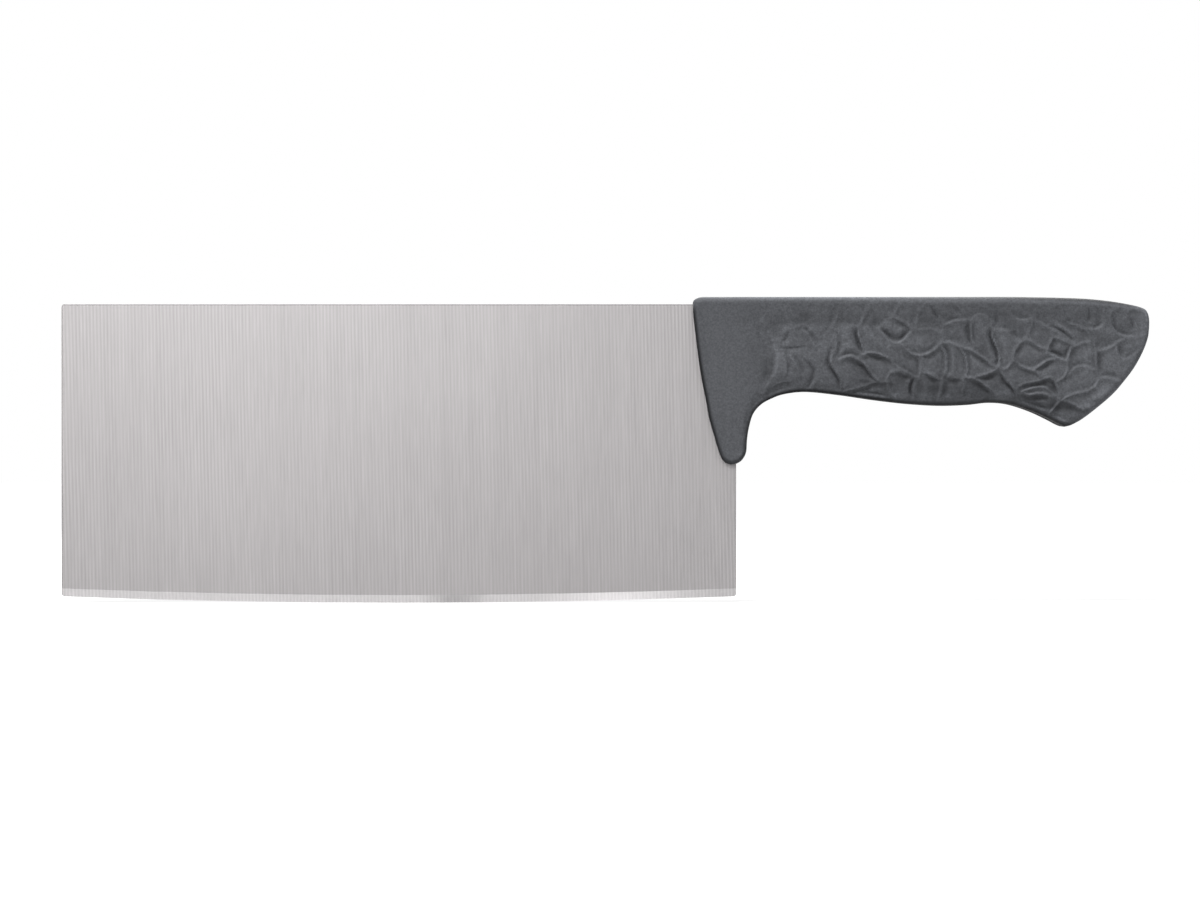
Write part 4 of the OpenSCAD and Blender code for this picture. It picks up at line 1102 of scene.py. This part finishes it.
def soft_rubber(s):
    """Matte moulded elastomer with a fine speckled grain. Its ridges are painted lighter, as rubbing and
    as a painted highlight, its hollows carry painted shade, and painted light and shade lie along its
    edges, under its top, above its underside and on its scoops. The facets are mottled more strongly
    than the bolster."""
    made, tree, shader = new_material("grip_rubber")
    even = 1 / s.grain
    blot = even / MOTTLE_COARSENESS
    grain = noise(tree, (even, even, even), detail=3.0, roughness=0.6)
    blots = noise(tree, (blot, blot, blot), roughness=0.55)
    coarse = noise(tree, GRIP_CLOUD_SCALES, detail=3.0)
    speckle = ramp(tree, grain, *GRAIN_RANGE, *GRAIN_SHADES, smooth=False)
    facets = mesh_value(tree, "facets")
    mottle_low, mottle_high = (
        ramp(tree, facets, 0.0, 1.0, bolster_shade, facet_shade, smooth=False)
        for bolster_shade, facet_shade in zip(BOLSTER_MOTTLE, FACET_MOTTLE)
    )
    mottle = between(tree, ramp(tree, blots, *MOTTLE_RANGE, smooth=False), mottle_low, mottle_high)
    cloud = varied(tree, coarse, GRIP_CLOUD_CONTRAST)
    # Ridges painted lighter: partly rubbing, partly a painted highlight where light catches them
    rubbed_and_lit = ramp(tree, mesh_value(tree, "wear"), 0.0, FULL_WEAR_AND_HIGHLIGHT, 1.0, s.wear_and_highlight_gain, smooth=False)
    # Painted shade: darker colour in the hollows, where shade falls
    hollow_shade = ramp(tree, mesh_value(tree, "hollow"), *HOLLOW_SHADE_DEPTHS, 1.0, s.hollow_shade_gain)
    # Painted light and shade on the edges, the bands and the scoops
    change = PAINTED_SHADING_LIMIT * s.painted_shading_gain
    tone = ramp(tree, mesh_value(tree, "tone"), -PAINTED_SHADING_LIMIT, PAINTED_SHADING_LIMIT, 1 - change, 1 + change,
                smooth=False)
    shade = product(tree, speckle, mottle, cloud, rubbed_and_lit, hollow_shade, tone)
    tree.links.new(shaded(tree, tuple(s.colour), shade), shader.inputs["Base Color"])
    tree.links.new(spread(tree, grain, *GRAIN_ROUGHNESS), shader.inputs["Roughness"])
    tree.links.new(bump(tree, grain, GRAIN_DEPTH), shader.inputs["Normal"])
    shader.inputs["Specular IOR Level"].default_value = 0.12
    return made


def hard_plastic(s):
    """Dark moulded plastic with a faint flow pattern."""
    made, tree, shader = new_material("core_plastic")
    flow = noise(tree, FLOW_SCALES)
    shade = varied(tree, flow, CORE_CONTRAST)
    tree.links.new(shaded(tree, tuple(s.colour), shade), shader.inputs["Base Color"])
    tree.links.new(spread(tree, flow, *CORE_ROUGHNESS), shader.inputs["Roughness"])
    return made


def dress(node, material):
    """Gives a carried-over node one material, on the slot that it came with."""
    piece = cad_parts[node]
    piece.data.materials.clear()
    piece.data.materials.append(material)


class OBJECT_OT_cleaver_blade(bpy.types.Operator):
    """Finish the blade in brushed steel"""

    bl_idname = "object.cleaver_blade"
    bl_label = "Blade finish"

    def execute(self, context):
        dress("blade", blade_steel(context.scene.cleaver_blade))
        return {"FINISHED"}


class OBJECT_OT_cleaver_core(bpy.types.Operator):
    """Finish the hidden core in hard plastic"""

    bl_idname = "object.cleaver_core"
    bl_label = "Core finish"

    def execute(self, context):
        dress("handle_core", hard_plastic(context.scene.cleaver_core))
        return {"FINISHED"}


class OBJECT_OT_cleaver_grip(bpy.types.Operator):
    """Model the moulded grip with its relief"""

    bl_idname = "object.cleaver_grip"
    bl_label = "Grip"

    def execute(self, context):
        settings = context.scene.cleaver_grip
        piece = bpy.data.objects.new("grip_skin", grip_mesh(settings))
        context.scene.collection.objects.link(piece)
        piece.data.materials.append(soft_rubber(settings))
        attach(piece, "root")
        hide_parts("grip")
        return {"FINISHED"}


def add_lamp(name, place, size, colour, power):
    """A rectangular area lamp that faces the lamps' target."""
    data = bpy.data.lights.new(name, "AREA")
    data.shape = "RECTANGLE"
    data.size, data.size_y = size
    data.energy = power
    data.color = colour
    lamp = bpy.data.objects.new(name, data)
    lamp.location = place
    lamp.rotation_euler = (Vector(LAMP_TARGET) - Vector(place)).to_track_quat("-Z", "Y").to_euler()
    bpy.context.scene.collection.objects.link(lamp)


def seen_ray(tree):
    """1 for rays that show the background: straight from the camera, mirrored or through glass."""
    path = tree.nodes.new("ShaderNodeLightPath").outputs
    seen = math_node(tree, "MAXIMUM", path["Is Camera Ray"], path["Is Glossy Ray"])
    return math_node(tree, "MAXIMUM", seen, path["Is Transmission Ray"])


class OBJECT_OT_cleaver_stage(bpy.types.Operator):
    """Set up the camera, the lamps, the white room and the floor"""

    bl_idname = "object.cleaver_stage"
    bl_label = "Studio"

    def execute(self, context):
        settings = context.scene.cleaver_stage
        self.camera(context, settings)
        self.lamps(settings)
        self.room(context, settings)
        self.floor(context, settings)
        context.scene.view_settings.view_transform = "Standard"
        return {"FINISHED"}

    def camera(self, context, settings):
        """A camera level with the photograph's middle, whose frame is the photograph's"""
        data = bpy.data.cameras.new("camera")
        data.sensor_width = 36.0
        data.lens = data.sensor_width * settings.camera_distance / (PHOTO_WIDTH_PX * PIXEL)
        data.clip_end = 100.0
        camera = bpy.data.objects.new("camera", data)
        x, z = photo_place(*PHOTO_MIDDLE_PX)
        camera.location = (x, -settings.camera_distance, z)
        camera.rotation_euler = (math.pi / 2, 0.0, 0.0)
        context.scene.collection.objects.link(camera)
        context.scene.camera = camera

    def lamps(self, settings):
        """The soft lamps"""
        for name, place, size, colour in LAMPS:
            add_lamp(f"{name}_lamp", place, size, colour, getattr(settings, f"{name}_power"))

    def room(self, context, settings):
        """A world that shows white and lights the object faintly"""
        world = bpy.data.worlds.new("room")
        context.scene.world = world
        world.use_nodes = True
        tree = world.node_tree
        tree.nodes.clear()
        level = ramp(tree, seen_ray(tree), 0.0, 1.0, settings.ambient, 1.0, smooth=False)
        background = tree.nodes.new("ShaderNodeBackground")
        background.inputs["Color"].default_value = (1.0, 1.0, 1.0, 1.0)
        tree.links.new(level, background.inputs["Strength"])
        output = tree.nodes.new("ShaderNodeOutputWorld")
        tree.links.new(background.outputs[0], output.inputs["Surface"])

    def floor(self, context, settings):
        """A wide matte floor that shows near white and keeps the object's shadow"""
        mesh = bpy.data.meshes.new("floor")
        corners = [(x * FLOOR_HALF, y * FLOOR_HALF, 0) for x, y in ((-1, -1), (1, -1), (1, 1), (-1, 1))]
        mesh.from_pydata(corners, [], [(0, 1, 2, 3)])
        piece = bpy.data.objects.new("floor", mesh)
        context.scene.collection.objects.link(piece)
        made, tree, shader = new_material("floor_paint")
        shader.inputs["Base Color"].default_value = (*settings.floor_colour, 1.0)
        shader.inputs["Roughness"].default_value = 1.0
        shader.inputs["Specular IOR Level"].default_value = 0.0
        shader.inputs["Emission Color"].default_value = (1.0, 1.0, 1.0, 1.0)
        places = tree.nodes.new("ShaderNodeTexCoord").outputs["Object"]
        reach = tree.nodes.new("ShaderNodeVectorMath")
        reach.operation = "LENGTH"
        tree.links.new(places, reach.inputs[0])
        far = ramp(tree, reach.outputs["Value"], *FLOOR_GLOW_REACH, FLOOR_GLOW_SHARE, 1.0)
        glow = math_node(tree, "MULTIPLY", seen_ray(tree), far)
        tree.links.new(glow, shader.inputs["Emission Strength"])
        mesh.materials.append(made)


class VIEW3D_PT_cleaver(bpy.types.Panel):
    """Lists the pieces of the cleaver and its studio"""

    bl_label = "Cleaver"
    bl_idname = "VIEW3D_PT_cleaver"
    bl_space_type = "VIEW_3D"
    bl_region_type = "UI"
    bl_category = "Cleaver"

    def draw(self, context):
        for name, operator, settings in STEPS:
            box = self.layout.box()
            box.operator(f"object.{operator}", text=name)
            group = getattr(context.scene, operator)
            for prop in settings.__annotations__:
                box.prop(group, prop)


# Name in the panel, operator and scene property, and settings, in working order
STEPS = (
    ("Blade", "cleaver_blade", BladeSettings),
    ("Hard core", "cleaver_core", CoreSettings),
    ("Grip", "cleaver_grip", GripSettings),
    ("Studio", "cleaver_stage", StageSettings),
)
CLASSES = (
    BladeSettings,
    CoreSettings,
    GripSettings,
    StageSettings,
    OBJECT_OT_cleaver_blade,
    OBJECT_OT_cleaver_core,
    OBJECT_OT_cleaver_grip,
    OBJECT_OT_cleaver_stage,
    VIEW3D_PT_cleaver,
)


def register():
    for cls in CLASSES:
        bpy.utils.register_class(cls)
    for _, operator, settings in STEPS:
        setattr(bpy.types.Scene, operator, PointerProperty(type=settings))


def unregister():
    for _, operator, _ in STEPS:
        delattr(bpy.types.Scene, operator)
    for cls in reversed(CLASSES):
        bpy.utils.unregister_class(cls)


def main():
    register()
    for _, operator, _ in STEPS:
        getattr(bpy.ops.object, operator)()


if __name__ == "__main__":
    main()
